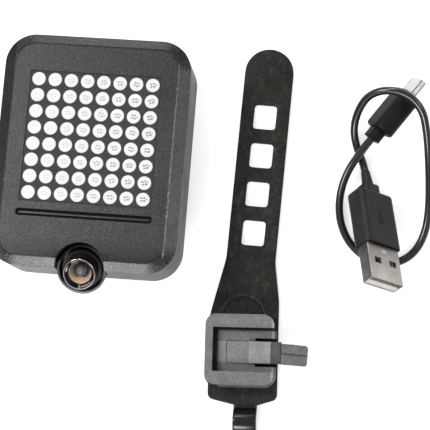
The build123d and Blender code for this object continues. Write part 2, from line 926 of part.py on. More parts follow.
def shoe():
    body = slab(shoe_l, shoe_w, shoe_corner_r, strap_t, shoe_top)
    margin = 2 * flange_margin
    body += slab(
        shoe_l + margin, shoe_w + margin, shoe_corner_r + flange_margin, strap_t, strap_t + flange_t
    )
    reach = shoe_l / 2 + flange_margin + overrun
    cavity_mid = (cavity_start + reach) / 2
    cavity_l = reach - cavity_start
    body -= block(cavity_l, cavity_w, shoe_floor, lip_low, cavity_mid)
    body -= block(cavity_l, lip_opening, shoe_floor, shoe_top + overrun, cavity_mid)
    band_l = tongue_root - cavity_start
    band_mid = (tongue_root + cavity_start) / 2
    band_low, band_high = shoe_floor - band_rise, shoe_floor + band_rise
    body += block(band_l, 2 * tongue_half, band_low, band_high, band_mid, tongue_y)
    low, high = strap_t - overrun, shoe_floor + band_rise + overrun
    root = tongue_root - tongue_edge_gap
    channel_half = tongue_half + tongue_edge_gap
    body -= block(reach - root, 2 * channel_half, strap_t + web_t, high, (reach + root) / 2, tongue_y)
    slot_half = tongue_half + tongue_slot_gap
    slot_mid = (tongue_slot_start + reach) / 2
    body -= block(reach - tongue_slot_start, 2 * slot_half, low, high, slot_mid, tongue_y)
    screw_end = plate_sunk * 2 + swivel_head_h + swivel_len
    return shoe_frame * (body - rod(swivel_r + thread_gap, strap_t - overrun, screw_end + overrun))


def tongue_low():
    return shoe_floor + band_rise - tongue_t


def thumb_plate(low, high):
    """The lever's end plate with a centre ridge, turned a little about the tongue."""
    length = thumb_end - thumb_start
    middle = (thumb_end + thumb_start) / 2 - thumb_skew_x
    body = block(length, 2 * thumb_half, low, high + thumb_rise, middle)
    tip = body.edges().filter_by(Axis.Z).group_by(Axis.X)[-1]
    body = fillet(tip, thumb_corner_r)
    ridge_l = length - thumb_corner_r
    ridge_high = high + thumb_rise + thumb_ridge_rise
    ridge_mid = thumb_start - thumb_skew_x + ridge_l / 2
    body += block(ridge_l, thumb_ridge_w, high, ridge_high, ridge_mid)
    return Location((thumb_skew_x, 0, 0), (0, 0, thumb_skew)) * body


def release_tongue():
    low, high = tongue_low(), shoe_floor + band_rise
    reach = (thumb_start + thumb_end) / 2
    body = block(reach - tongue_root, 2 * (thumb_half - thumb_groove_w), low, high, (reach + tongue_root) / 2)
    body += block(thumb_start - tongue_root, 2 * tongue_half, low, high, (thumb_start + tongue_root) / 2)
    body += thumb_plate(low, high)
    ramp = make_face(Polyline((ramp_face, 0), (ramp_end, 0), (ramp_face, ramp_rise), close=True))
    side_plane = Plane(origin=(0, tongue_half, high), x_dir=(1, 0, 0), z_dir=(0, -1, 0))
    body += extrude(side_plane * ramp, 2 * tongue_half)
    recess_l = recess_end - recess_start
    recess_mid = (recess_end + recess_start) / 2
    recess_half = tongue_half - recess_inset
    body -= block(recess_l, 2 * recess_half, high - recess_depth, high + overrun, recess_mid)
    groove_mid = thumb_start - thumb_groove_w / 2
    groove_low = high - thumb_groove_depth
    body -= block(thumb_groove_w, 4 * tongue_half, groove_low, high + 2 * thumb_rise, groove_mid)
    return shoe_frame * (Pos(0, tongue_y, 0) * body)


def plug_frame(x, y, z, heading, pitch, roll):
    """A frame whose X runs out of the plug's mouth and whose Z leaves its broad top face."""
    h, p, r = radians(heading), radians(pitch), radians(roll)
    along = Vector(cos(p) * cos(h), cos(p) * sin(h), sin(p))
    upright = Vector(-sin(p) * cos(h), -sin(p) * sin(h), cos(p))
    side = along.cross(upright)
    top = upright * cos(r) + side * sin(r)
    return Plane(origin=(x, y, z), x_dir=along, z_dir=top)


micro_frame = plug_frame(micro_x, micro_y, micro_z, micro_heading, 0, -micro_roll)
usb_frame = plug_frame(usb_x, usb_y, usb_z, usb_heading, usb_pitch, -usb_roll)


def plug_overmould(frame, size, length, rounds, pocket, pocket_size):
    """A moulded grip, size being its width, thickness and long-edge radius."""
    body = bar_x(*size, 0, length)
    body = fillet(body.edges().group_by(Axis.X)[0], rounds[0])
    body = fillet(body.edges().group_by(Axis.X)[-1], rounds[1])
    body -= bar_x(*pocket_size, length - pocket, length + overrun)
    return frame.location * body


def micro_overmould():
    size = (micro_w, micro_t, micro_corner_r)
    margin = 2 * micro_shell_skin
    mouth = (micro_shell_w + margin, micro_shell_t + margin, micro_shell_r + micro_shell_skin)
    rounds = (micro_back_round, micro_front_round)
    body = plug_overmould(micro_frame, size, micro_len, rounds, micro_shell_skin, mouth)
    hole = (micro_shell_w, micro_shell_t, micro_shell_r)
    return body - micro_frame.location * bar_x(*hole, micro_len - micro_shell_in, micro_len + overrun)


def micro_relief():
    size = (micro_relief_w, micro_relief_t, micro_relief_r)
    return micro_frame.location * bar_x(*size, -micro_relief_len, 0)


def micro_shell():
    outer = (micro_shell_w, micro_shell_t, micro_shell_r)
    inner_w, inner_t = micro_shell_w - 2 * micro_shell_skin, micro_shell_t - 2 * micro_shell_skin
    start, end = micro_len - micro_shell_in, micro_len + micro_shell_out
    body = bar_x(*outer, start, end)
    body -= bar_x(inner_w, inner_t, micro_shell_r / 2, start - overrun, end + overrun)
    return micro_frame.location * body


def micro_core_size():
    inner_w = micro_shell_w - 2 * micro_shell_skin - 2 * micro_core_gap
    inner_t = micro_shell_t - 2 * micro_shell_skin - 2 * micro_core_gap
    return inner_w, inner_t


def micro_insulator():
    width, thick = micro_core_size()
    start, end = micro_len - micro_shell_in, micro_len + micro_shell_out - micro_shell_skin
    body = bar_x(width, thick, micro_shell_r / 2, start, end)
    mouth = Box(2 * micro_shell_out, width * micro_mouth_w_share, thick)
    return micro_frame.location * (body - Pos(end, 0, thick / 2) * mouth)


def micro_contacts():
    pieces = []
    end = micro_len + micro_shell_out - 2 * micro_shell_skin
    for i in range(micro_contact_count):
        y = (i - (micro_contact_count - 1) / 2) * micro_contact_pitch
        strip = Box(micro_contact_l, micro_contact_w, micro_contact_t)
        place = Pos(end - micro_contact_l / 2, y, micro_contact_t / 2)
        pieces.append(micro_frame.location * (place * strip))
    return group(pieces)


def micro_latches():
    pieces = []
    x = micro_len + micro_shell_out - micro_latch_back
    for side in (-1, 1):
        latch = Box(micro_latch_l, micro_latch_w, micro_latch_rise)
        z = -micro_shell_t / 2 - micro_latch_rise / 2
        pieces.append(micro_frame.location * (Pos(x, side * micro_latch_spread / 2, z) * latch))
    return group(pieces)


def usb_a_overmould():
    size = (usb_w, usb_t, usb_corner_r)
    mouth_r = usb_shell_r + usb_front_margin / 2
    mouth = (usb_shell_w + usb_front_margin, usb_shell_t + 2 * usb_front_margin, mouth_r)
    rounds = (usb_back_round, usb_front_round)
    body = plug_overmould(usb_frame, size, usb_len, rounds, usb_front_pocket, mouth)
    hole = (usb_shell_w, usb_shell_t, usb_shell_r)
    return body - usb_frame.location * bar_x(*hole, usb_len - usb_shell_in, usb_len + overrun)


def usb_a_relief():
    size = (usb_relief_w, usb_relief_t, usb_relief_r)
    return usb_frame.location * bar_x(*size, -usb_relief_len, 0)


def usb_a_shell():
    inner_w, inner_t = usb_shell_w - 2 * usb_shell_skin, usb_shell_t - 2 * usb_shell_skin
    start, end = usb_len - usb_shell_in, usb_len + usb_shell_out
    body = bar_x(usb_shell_w, usb_shell_t, usb_shell_r, start, end)
    body -= bar_x(inner_w, inner_t, usb_shell_r / 2, start - overrun, end + overrun)
    for side in (-1, 1):
        for up in (-1, 1):
            window = Box(usb_window_l, usb_window_w, 2 * usb_shell_skin + overrun)
            place = Pos(end - usb_window_back, side * usb_window_spread / 2, up * usb_shell_t / 2)
            body -= place * window
    return usb_frame.location * body


def usb_core_low():
    return -usb_shell_t / 2 + usb_shell_skin + usb_core_gap


def usb_a_insulator():
    width = usb_shell_w - 2 * usb_shell_skin - 2 * usb_core_gap
    start, end = usb_len - usb_shell_in, usb_len + usb_shell_out - usb_core_sink
    middle_z = usb_core_low() + usb_core_t / 2
    return usb_frame.location * bar_x(width, usb_core_t, usb_shell_r / 2, start, end, 0, middle_z)


def usb_a_contacts():
    pieces = []
    end = usb_len + usb_shell_out - usb_contact_sink
    z = usb_core_low() + usb_core_t + usb_contact_t / 2
    for i in range(usb_contact_count):
        y = (i - (usb_contact_count - 1) / 2) * usb_contact_pitch
        strip = Box(usb_contact_l, usb_contact_w, usb_contact_t)
        pieces.append(usb_frame.location * (Pos(end - usb_contact_l / 2, y, z) * strip))
    return group(pieces)


def relief_exit(frame, relief_len, further=0):
    """A point on the plug's axis at the back of its strain relief, or further out."""
    return (frame.location * Pos(-relief_len - further, 0, 0)).position


def cable_route():
    first = relief_exit(micro_frame, micro_relief_len)
    second = relief_exit(micro_frame, micro_relief_len, cable_lead_out)
    last = relief_exit(usb_frame, usb_relief_len)
    before = relief_exit(usb_frame, usb_relief_len, cable_lead_out)
    points = [first, second] + [Vector(*p) for p in cable_points] + [before, last]
    return points


def cable_radii(points):
    radii = []
    for a, b, c in zip(points, points[1:], points[2:]):
        turn = radians((b - a).get_angle(c - b))
        shorter = min((b - a).length, (c - b).length)
        radii.append(cable_bend_share * shorter / tan(turn / 2))
    return radii


def cable():
    points = cable_route()
    radii = cable_radii(points)
    route = FilletPolyline(*points, radius=radii)
    tube = tube_along(route, cable_r)
    expected = pi * cable_r**2 * route.length
    print("cable length", round(route.length, 1), "volume ratio", round(tube.volume / expected, 4))
    print("cable bend radii", [round(r, 1) for r in radii])
    print("cable runs", [round((b - a).length, 1) for a, b in zip(points, points[1:])])
    return tube


nodes = {
    "front_shell": front_shell,
    "rear_shell": rear_shell,
    "shell_gasket": shell_gasket,
    "shell_screws": shell_screws,
    "led_matrix_body": led_matrix_body,
    "led_dots": led_dots,
    "led_pins": led_pins,
    "slot_strip": slot_strip,
    "main_board": main_board,
    "board_screws": board_screws,
    "controller_chip": controller_chip,
    "motion_sensor": motion_sensor,
    "charge_chip": charge_chip,
    "board_capacitors": board_capacitors,
    "battery_pad": battery_pad,
    "battery_cell": battery_cell,
    "battery_plug": battery_plug,
    "battery_leads": battery_leads,
    "usb_socket": usb_socket,
    "usb_tongue": usb_tongue,
    "port_cap": port_cap,
    "power_button": power_button,
    "tact_switch": tact_switch,
    "switch_plunger": switch_plunger,
    "laser_holder": laser_holder,
    "laser_barrel": laser_barrel,
    "laser_ring": laser_ring,
    "laser_reflector": laser_reflector,
    "laser_lens": laser_lens,
    "laser_diode": laser_diode,
    "rear_rail": rear_rail,
    "rail_screws": rail_screws,
    "strap_pad": strap_pad,
    "strap_tail": strap_tail,
    "strap_hook": strap_hook,
    "swivel_plate": swivel_plate,
    "swivel_screw": swivel_screw,
    "shoe": shoe,
    "release_tongue": release_tongue,
    "cable": cable,
    "micro_overmould": micro_overmould,
    "micro_relief": micro_relief,
    "micro_shell": micro_shell,
    "micro_insulator": micro_insulator,
    "micro_contacts": micro_contacts,
    "micro_latches": micro_latches,
    "usb_a_overmould": usb_a_overmould,
    "usb_a_relief": usb_a_relief,
    "usb_a_shell": usb_a_shell,
    "usb_a_insulator": usb_a_insulator,
    "usb_a_contacts": usb_a_contacts,
}

for name, make in nodes.items():
    export_step(make(), f"parts/{name}.step")
    print(name)
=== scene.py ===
# %% [markdown]
# # A bicycle turn signal light, its strap mount and its charging lead
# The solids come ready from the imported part. This file dresses them: it adds what rubber, cable
# and moulded plastic need, gives every piece its finish, and lights the table they lie on.

# %% Load the solids
from math import cos, pi, radians, sin

import bmesh
import bpy
from mathutils import Matrix, Vector


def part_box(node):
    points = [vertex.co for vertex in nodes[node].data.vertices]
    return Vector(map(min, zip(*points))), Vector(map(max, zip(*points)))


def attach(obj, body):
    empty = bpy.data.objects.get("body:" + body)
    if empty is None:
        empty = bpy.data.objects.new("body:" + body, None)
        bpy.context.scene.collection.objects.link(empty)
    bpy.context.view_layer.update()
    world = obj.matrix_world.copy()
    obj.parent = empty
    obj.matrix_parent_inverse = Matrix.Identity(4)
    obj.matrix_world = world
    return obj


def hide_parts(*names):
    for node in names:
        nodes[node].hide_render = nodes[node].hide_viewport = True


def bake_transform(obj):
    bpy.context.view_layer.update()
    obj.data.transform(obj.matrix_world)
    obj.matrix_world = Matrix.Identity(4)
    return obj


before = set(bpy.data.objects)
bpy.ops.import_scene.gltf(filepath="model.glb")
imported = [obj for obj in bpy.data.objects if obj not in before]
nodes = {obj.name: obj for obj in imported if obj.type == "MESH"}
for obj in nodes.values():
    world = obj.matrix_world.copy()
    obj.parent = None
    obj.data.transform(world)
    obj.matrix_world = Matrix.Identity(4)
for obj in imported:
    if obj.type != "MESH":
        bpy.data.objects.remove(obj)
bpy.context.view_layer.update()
MM = 0.001

# %% [markdown]
# ## The camera
# It hangs almost straight above the table, a little to the lamp's lower right, and uses a long
# lens, so the three things on the table keep their true proportions. Its place and turn come from
# the regular grid of dots on the lamp, which shows the view's angle very exactly.

# %% Place the camera
PHOTO_WIDTH = 430
SENSOR_WIDTH = 36.0
FOCAL_PIXELS = 1500.0
CAMERA_AT = (75.709, -74.775, 452.797)
CAMERA_RIGHT = (0.99363955, 0.07965887, -0.07959216)
CAMERA_DOWN = (0.06748066, -0.98706149, -0.14545093)
CAMERA_FORWARD = (-0.09014881, 0.13915486, -0.98615877)

lens = bpy.data.cameras.new("table_camera")
lens.sensor_width = SENSOR_WIDTH
lens.lens = SENSOR_WIDTH * FOCAL_PIXELS / PHOTO_WIDTH
lens.clip_start = 0.01
camera = bpy.data.objects.new("table_camera", lens)
turn = Matrix((CAMERA_RIGHT, [-v for v in CAMERA_DOWN], [-v for v in CAMERA_FORWARD])).transposed()
camera.matrix_world = Matrix.Translation(Vector(CAMERA_AT) * MM) @ turn.to_4x4()
bpy.context.scene.collection.objects.link(camera)
bpy.context.scene.camera = camera
print("lens:", round(lens.lens, 2), "mm")

# %% [markdown]
# ## Small helpers for shader trees
# Every finish below is built from the same few parts: object coordinates, noise at a size given in
# millimetres, and a colour that drifts between two close tones. Writing these once keeps each
# finish short enough to read.

# %% Shader helpers
def link(tree, source, target):
    tree.links.new(source, target)


def noise(tree, size_mm, detail=3.0, stretch=(1, 1, 1)):
    """Soft noise whose blobs are about size_mm across, stretched along an axis by a small factor."""
    place = tree.nodes.new("ShaderNodeTexCoord")
    mapping = tree.nodes.new("ShaderNodeMapping")
    mapping.inputs["Scale"].default_value = [s / (size_mm * MM) for s in stretch]
    texture = tree.nodes.new("ShaderNodeTexNoise")
    texture.inputs["Scale"].default_value = 1.0
    texture.inputs["Detail"].default_value = detail
    link(tree, place.outputs["Object"], mapping.inputs["Vector"])
    link(tree, mapping.outputs["Vector"], texture.inputs["Vector"])
    return texture.outputs["Fac"]


def remap(tree, source, low, high, start=0.3, end=0.7):
    """Spreads a part of a value's range, such as the middle of a noise, over another range."""
    ramp = tree.nodes.new("ShaderNodeMapRange")
    ramp.inputs["From Min"].default_value = start
    ramp.inputs["From Max"].default_value = end
    ramp.inputs["To Min"].default_value = low
    ramp.inputs["To Max"].default_value = high
    link(tree, source, ramp.inputs["Value"])
    return ramp.outputs["Result"]


def place_part(tree, axis):
    """One coordinate of the object's own frame, in millimetres."""
    place = tree.nodes.new("ShaderNodeTexCoord")
    split = tree.nodes.new("ShaderNodeSeparateXYZ")
    link(tree, place.outputs["Object"], split.inputs["Vector"])
    return times(tree, split.outputs[axis], 1 / MM)


def calculate(tree, operation, first, second):
    node = tree.nodes.new("ShaderNodeMath")
    node.operation = operation
    for socket, value in zip(node.inputs, (first, second)):
        if isinstance(value, (int, float)):
            socket.default_value = value
        else:
            link(tree, value, socket)
    return node.outputs["Value"]


def times(tree, first, second):
    return calculate(tree, "MULTIPLY", first, second)


def plus(tree, first, second):
    return calculate(tree, "ADD", first, second)


def minus(tree, first, second):
    return calculate(tree, "SUBTRACT", first, second)


def ramp_along(tree, axis, low, high, start, end):
    """A value that runs from one to another between two places on an axis of the object's frame."""
    return remap(tree, place_part(tree, axis), low, high, start, end)


def band(tree, value, low, high, edge):
    """One between two values, falling to zero over a short edge on both sides."""
    up = remap(tree, value, 0.0, 1.0, low - edge, low)
    down = remap(tree, value, 1.0, 0.0, high, high + edge)
    return times(tree, up, down)


def mix_colour(tree, factor, first, second, blend="MIX"):
    mix = tree.nodes.new("ShaderNodeMix")
    mix.data_type = "RGBA"
    mix.blend_type = blend
    if isinstance(factor, float):
        mix.inputs["Factor"].default_value = factor
    else:
        link(tree, factor, mix.inputs["Factor"])
    for socket, value in ((mix.inputs["A"], first), (mix.inputs["B"], second)):
        if isinstance(value, (tuple, list)):
            socket.default_value = (*value, 1.0)
        else:
            link(tree, value, socket)
    return mix.outputs["Result"]


def surface(
    name, dark, light, patch, grain, rough, bump, swing=0.06, speck=0.0, metal=0.0, soft_edge=0.0,
    grit=0.0, **plain,
):
    """A finish with two tones in patches, a fine grain, uneven gloss and, if asked, softened edges."""
    made = bpy.data.materials.new(name)
    made.use_nodes = True
    tree = made.node_tree
    shader = tree.nodes["Principled BSDF"]
    patches = noise(tree, patch)
    fine = noise(tree, grain, 2.0)
    tone = mix_colour(tree, remap(tree, patches, 0.0, 1.0), dark, light)
    if speck:
        sparkle = remap(tree, fine, 0.0, speck, 0.55, 0.8)
        tone = mix_colour(tree, sparkle, tone, [min(1.0, 3 * c + 0.05) for c in light])
    if grit:
        tone = mix_colour(tree, 1.0, tone, remap(tree, fine, 1 - grit, 1 + grit, 0.35, 0.65), "MULTIPLY")
    link(tree, tone, shader.inputs["Base Color"])
    link(tree, remap(tree, patches, rough - swing, rough + swing), shader.inputs["Roughness"])
    shader.inputs["Metallic"].default_value = metal
    for socket, value in plain.items():
        shader.inputs[socket.replace("_", " ")].default_value = value
    relief = tree.nodes.new("ShaderNodeBump")
    relief.inputs["Distance"].default_value = bump * MM
    link(tree, fine, relief.inputs["Height"])
    if soft_edge:
        rounding = tree.nodes.new("ShaderNodeBevel")
        rounding.samples = 4
        rounding.inputs["Radius"].default_value = soft_edge * MM
        link(tree, rounding.outputs["Normal"], relief.inputs["Normal"])
    link(tree, relief.outputs["Normal"], shader.inputs["Normal"])
    return made


def tint(material, value):
    """Multiplies a finish's colour by a value worked out in its own tree."""
    tree = material.node_tree
    target = tree.nodes["Principled BSDF"].inputs["Base Color"]
    link(tree, mix_colour(tree, 1.0, target.links[0].from_socket, value, "MULTIPLY"), target)


def dress(material, *names):
    """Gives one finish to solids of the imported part, by name."""
    for name in names:
        mesh = nodes[name].data
        mesh.materials.clear()
        mesh.materials.append(material)


# %% [markdown]
# ## Mesh helpers
# Rubber bands are cut or moulded flat, so a filled flat curve with an extrusion and a small bevel
# gives both the outline and the softly rounded rim. Anything that curls or tapers is easier as a
# row of equal sections joined by faces, and small marks are plain boxes in a part's own frame.

# %% Outline and section helpers
def arc(centre, radius, start, end, steps):
    """Points of an arc in degrees, both ends included."""
    angles = [radians(start + (end - start) * i / steps) for i in range(steps + 1)]
    return [(centre[0] + radius * cos(a), centre[1] + radius * sin(a)) for a in angles]


def rounded_corners(points, radii, steps=6):
    """Replaces each corner of a closed outline by a tangent arc of its own radius."""
    outline = []
    count = len(points)
    for i, (corner, radius) in enumerate(zip(points, radii)):
        here = Vector(corner)
        back = (Vector(points[i - 1]) - here).normalized()
        ahead = (Vector(points[(i + 1) % count]) - here).normalized()
        if radius <= 0:
            outline.append(tuple(here))
            continue
        half = back.angle(ahead) / 2
        reach = radius / max(1e-6, abs(sin(half) / cos(half)))
        start, end = here + back * reach, here + ahead * reach
        for k in range(steps + 1):
            t = k / steps
            outline.append(tuple((1 - t) ** 2 * start + 2 * t * (1 - t) * here + t * t * end))
    return outline


def add_mesh(name, mesh, material, body):
    """Puts a finished mesh in the scene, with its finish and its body."""
    mesh.materials.clear()
    mesh.materials.append(material)
    piece = bpy.data.objects.new(name, mesh)
    bpy.context.scene.collection.objects.link(piece)
    if body:
        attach(piece, body)
    return piece


def smooth_by_angle(mesh, degrees=32):
    """Smooth faces that meet at a small angle, crisp ones elsewhere."""
    work = bmesh.new()
    work.from_mesh(mesh)
    for face in work.faces:
        face.smooth = True
    for edge in work.edges:
        crisp = len(edge.link_faces) != 2 or edge.calc_face_angle(0) > radians(degrees)
        edge.smooth = not crisp
    work.to_mesh(mesh)
    work.free()


def flat_solid(name, loops, low, thickness, rim, place):
    """A flat solid from closed outlines, the first one outside and the rest holes, with a soft rim."""
    flat = bpy.data.curves.new(name, "CURVE")
    flat.dimensions = "2D"
    flat.fill_mode = "BOTH"
    flat.extrude = (thickness / 2 - rim) * MM
    flat.bevel_depth = rim * MM
    flat.bevel_resolution = 3
    flat.offset = -rim * MM
    for i, loop in enumerate(loops):
        points = loop if i == 0 else loop[::-1]
        spline = flat.splines.new("POLY")
        spline.points.add(len(points) - 1)
        for target, (x, y) in zip(spline.points, points):
            target.co = (x * MM, y * MM, 0, 1)
        spline.use_cyclic_u = True
    holder = bpy.data.objects.new(name + "_outline", flat)
    bpy.context.scene.collection.objects.link(holder)
    ready = holder.evaluated_get(bpy.context.evaluated_depsgraph_get())
    mesh = bpy.data.meshes.new_from_object(ready)
    bpy.data.objects.remove(holder)
    work = bmesh.new()
    work.from_mesh(mesh)
    bmesh.ops.remove_doubles(work, verts=work.verts, dist=0.002 * MM)
    bmesh.ops.recalc_face_normals(work, faces=work.faces)
    work.to_mesh(mesh)
    work.free()
    mesh.transform(place @ Matrix.Translation((0, 0, (low + thickness / 2) * MM)))
    return mesh


def cut_across(mesh, place, rows):
    """Adds edge rows across a strip, so that it can bend there."""
    work = bmesh.new()
    work.from_mesh(mesh)
    normal = place.to_3x3() @ Vector((0, 1, 0))
    for y in rows:
        everything = work.verts[:] + work.edges[:] + work.faces[:]
        at = place @ Vector((0, y * MM, 0))
        bmesh.ops.bisect_plane(work, geom=everything, plane_co=at, plane_no=normal, dist=1e-7)
    work.to_mesh(mesh)
    work.free()


def loft(rings):
    """Faces between equal rings of points, with an end cap on the first and the last."""
    work = bmesh.new()
    rows = [[work.verts.new(Vector(p) * MM) for p in ring] for ring in rings]
    count = len(rows[0])
    for a, b in zip(rows, rows[1:]):
        for i in range(count):
            j = (i + 1) % count
            work.faces.new((a[i], a[j], b[j], b[i]))
    work.faces.new(rows[0][::-1])
    work.faces.new(rows[-1])
    bmesh.ops.recalc_face_normals(work, faces=work.faces)
    mesh = bpy.data.meshes.new("loft")
    work.to_mesh(mesh)
    work.free()
    return mesh


def small_boxes(name, place, boxes):
    """Plain boxes in one mesh, each from its low and high corner in a frame."""
    work = bmesh.new()
    for low, high in boxes:
        middle = [(a + b) / 2 * MM for a, b in zip(low, high)]
        size = [(b - a) * MM for a, b in zip(low, high)]
        at = place @ Matrix.Translation(middle) @ Matrix.Diagonal((*size, 1.0))
        bmesh.ops.create_cube(work, size=1.0, matrix=at)
    mesh = bpy.data.meshes.new(name)
    work.to_mesh(mesh)
    work.free()
    return mesh


def joined(name, meshes):
    """Several meshes in one."""
    work = bmesh.new()
    for mesh in meshes:
        work.from_mesh(mesh)
    whole = bpy.data.meshes.new(name)
    work.to_mesh(whole)
    work.free()
    return whole


def tube_rings(centres, radii, steps=20):
    """Circles round the points of a path, each square to the path there."""
    rings = []
    for i, (centre, radius) in enumerate(zip(centres, radii)):
        before, after = centres[max(0, i - 1)], centres[min(len(centres) - 1, i + 1)]
        turn = (Vector(after) - Vector(before)).to_track_quat("Z", "Y")
        circle = arc((0, 0), radius, 0, 360 - 360 / steps, steps - 1)
        rings.append([Vector(centre) + turn @ Vector((x, y, 0)) for x, y in circle])
    return rings


# %% [markdown]
# ## The charging lead's cable
# A short lead keeps the bend it had in its box. A smooth curve through a few listed points gives
# that springy loop: out of the small plug, over its own other strand, round the table, up over the
# small plug and down into the large one. A curve with a round bevel is the lightest way to make it.

# %% Make the cable
CABLE_DIAMETER = 2.4
CABLE_ROUTE = [
    (80.25, 14.865, 5.1),
    (75.891, 8.639, 5.1),
    (72.8, 2.1, 4.4),
    (71.7, -4.7, 3.5),
    (72.6, -11.2, 2.6),
    (75.6, -16.9, 2.0),
    (80.4, -20.8, 1.6),
    (86.1, -22.5, 1.4),
    (91.6, -21.5, 1.4),
    (95.8, -18.0, 1.4),
    (98.2, -12.4, 1.6),
    (98.9, -5.5, 2.3),
    (98.5, 2.0, 3.9),
    (97.7, 9.5, 6.5),
    (96.6, 16.6, 9.8),
    (94.8, 22.9, 13.3),
    (90.2, 27.0, 14.7),
    (84.0, 28.4, 14.1),
    (78.4, 26.9, 11.5),
    (75.5, 22.5, 7.6),
    (74.6, 17.6, 4.0),
    (76.0, 12.4, 1.9),
    (78.880, 6.722, 1.607),
    (80.252, -0.084, 4.698),
]

cable_curve = bpy.data.curves.new("cable", "CURVE")
cable_curve.dimensions = "3D"
cable_curve.resolution_u = 10
cable_curve.bevel_depth = CABLE_DIAMETER / 2 * MM
cable_curve.bevel_resolution = 5
cable_curve.use_fill_caps = True
strand = cable_curve.splines.new("NURBS")
strand.points.add(len(CABLE_ROUTE) - 1)
for point, at in zip(strand.points, CABLE_ROUTE):
    point.co = (*(c * MM for c in at), 1.0)
strand.order_u = 3
strand.use_endpoint_u = True
cable = bpy.data.objects.new("cable_jacket", cable_curve)
bpy.context.scene.collection.objects.link(cable)

jacket = surface(
    "cable_jacket", (0.006, 0.006, 0.006), (0.012, 0.012, 0.0125), patch=6.0, grain=0.35, rough=0.30,
    bump=0.001, swing=0.02, Specular_IOR_Level=0.4, Coat_Weight=1.0, Coat_Roughness=0.15,
)
cable_curve.materials.append(jacket)
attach(cable, "charging_lead")
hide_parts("cable")
print("cable points:", len(CABLE_ROUTE))

# %% [markdown]
# ## Small details of the plugs
# A tapered boot leads the cable into the large plug, so that it doesn't break there. The large
# plug's top carries a plain raised arrow that shows which way up it goes, and its shell has a
# double crimp mark. The small plug's shell is folded from sheet, which leaves thin dark seams.

# %% Make the details of the plugs
def plug_place(at, heading, pitch, roll):
    """The frame of a plug: X out of its mouth, Z out of its broad top face."""
    h, p, r = radians(heading), radians(pitch), radians(roll)
    along = Vector((cos(p) * cos(h), cos(p) * sin(h), sin(p)))
    upright = Vector((-sin(p) * cos(h), -sin(p) * sin(h), cos(p)))
    top = upright * cos(r) + along.cross(upright) * sin(r)
    turn = Matrix((along, top.cross(along), top)).transposed()
    return Matrix.Translation(Vector(at) * MM) @ turn.to_4x4()


LARGE_PLUG_AT, SMALL_PLUG_AT = (80.83, -2.95, 6.0), (82.2, 17.65, 5.1)
large_place = plug_place(LARGE_PLUG_AT, -78.6, 24.0, -42.4)
small_place = plug_place(SMALL_PLUG_AT, 55.0, 0.0, -60.0)
overmould = surface(
    "overmould_plastic", (0.018, 0.018, 0.0175), (0.028, 0.028, 0.027), patch=4.0, grain=0.4, rough=0.46,
    bump=0.05, soft_edge=0.5, grit=0.4, Specular_IOR_Level=0.35,
)
BOOT_RADII = [1.8, 1.75, 1.65, 1.55, 1.45, 1.38, 1.25]
BOOT_STEPS = [0.0, 0.08, 0.16, 0.24, 0.32, 0.4, 0.44]
boot_end, boot_bend, boot_start = (Vector(at) for at in CABLE_ROUTE[:-4:-1])
boot_start = (boot_start + boot_bend) / 2
boot_path = [(1 - t) ** 2 * boot_end + 2 * t * (1 - t) * boot_bend + t * t * boot_start for t in BOOT_STEPS]
boot_mesh = loft(tube_rings(boot_path, BOOT_RADII))
smooth_by_angle(boot_mesh, 40)
boot = add_mesh("cable_boot", boot_mesh, overmould, "charging_lead")

ARROW_HALF, ARROW_LOW, ARROW_HIGH = 0.22, -0.1, 0.16
arrow_place = large_place @ Matrix.Translation((9.6 * MM, 0, 3.5 * MM))
arrow_tip = arrow_place @ Matrix.Translation((1.9 * MM, 0, 0))


def arrow_bar(place, back, front):
    """One raised bar of the arrow, along X in its own frame."""
    corners = ((back, -ARROW_HALF, ARROW_LOW), (front, ARROW_HALF, ARROW_HIGH))
    return small_boxes("arrow_bar", place, [corners])


bars = [arrow_bar(arrow_place, -2.6, 1.6)]
bars += [arrow_bar(arrow_tip @ Matrix.Rotation(radians(turn), 4, "Z"), -1.9, 0.15) for turn in (-35, 35)]
arrow = add_mesh("plug_arrow", joined("plug_arrow", bars), overmould, "charging_lead")

CRIMP_HALF, CRIMP_PLACES = 0.22, (-0.36, 0.36)
pale_metal = surface(
    "crimp_metal", (0.80, 0.77, 0.72), (0.9, 0.88, 0.84), patch=1.0, grain=0.2, rough=0.35, bump=0.004,
    metal=0.5,
)
crimp_boxes = [((20.3, y - CRIMP_HALF, 2.2), (21.3, y + CRIMP_HALF, 2.29)) for y in CRIMP_PLACES]
crimp_mesh = small_boxes("shell_crimps", large_place, crimp_boxes)
crimps = add_mesh("shell_crimps", crimp_mesh, pale_metal, "charging_lead")

SEAM_HALF, SEAM_PLACES = 0.11, ((-3.28, 0.78), (-3.28, -0.78), (3.28, 0.78))
seam_metal = surface(
    "seam_metal", (0.05, 0.042, 0.036), (0.09, 0.078, 0.07), patch=1.0, grain=0.2, rough=0.5, bump=0.004,
    metal=0.3,
)
seam_boxes = [
    ((14.5, y - SEAM_HALF, z - SEAM_HALF), (19.5, y + SEAM_HALF, z + SEAM_HALF)) for y, z in SEAM_PLACES
]
seam_mesh = small_boxes("shell_seams", small_place, seam_boxes)
seams = add_mesh("shell_seams", seam_mesh, seam_metal, "charging_lead")
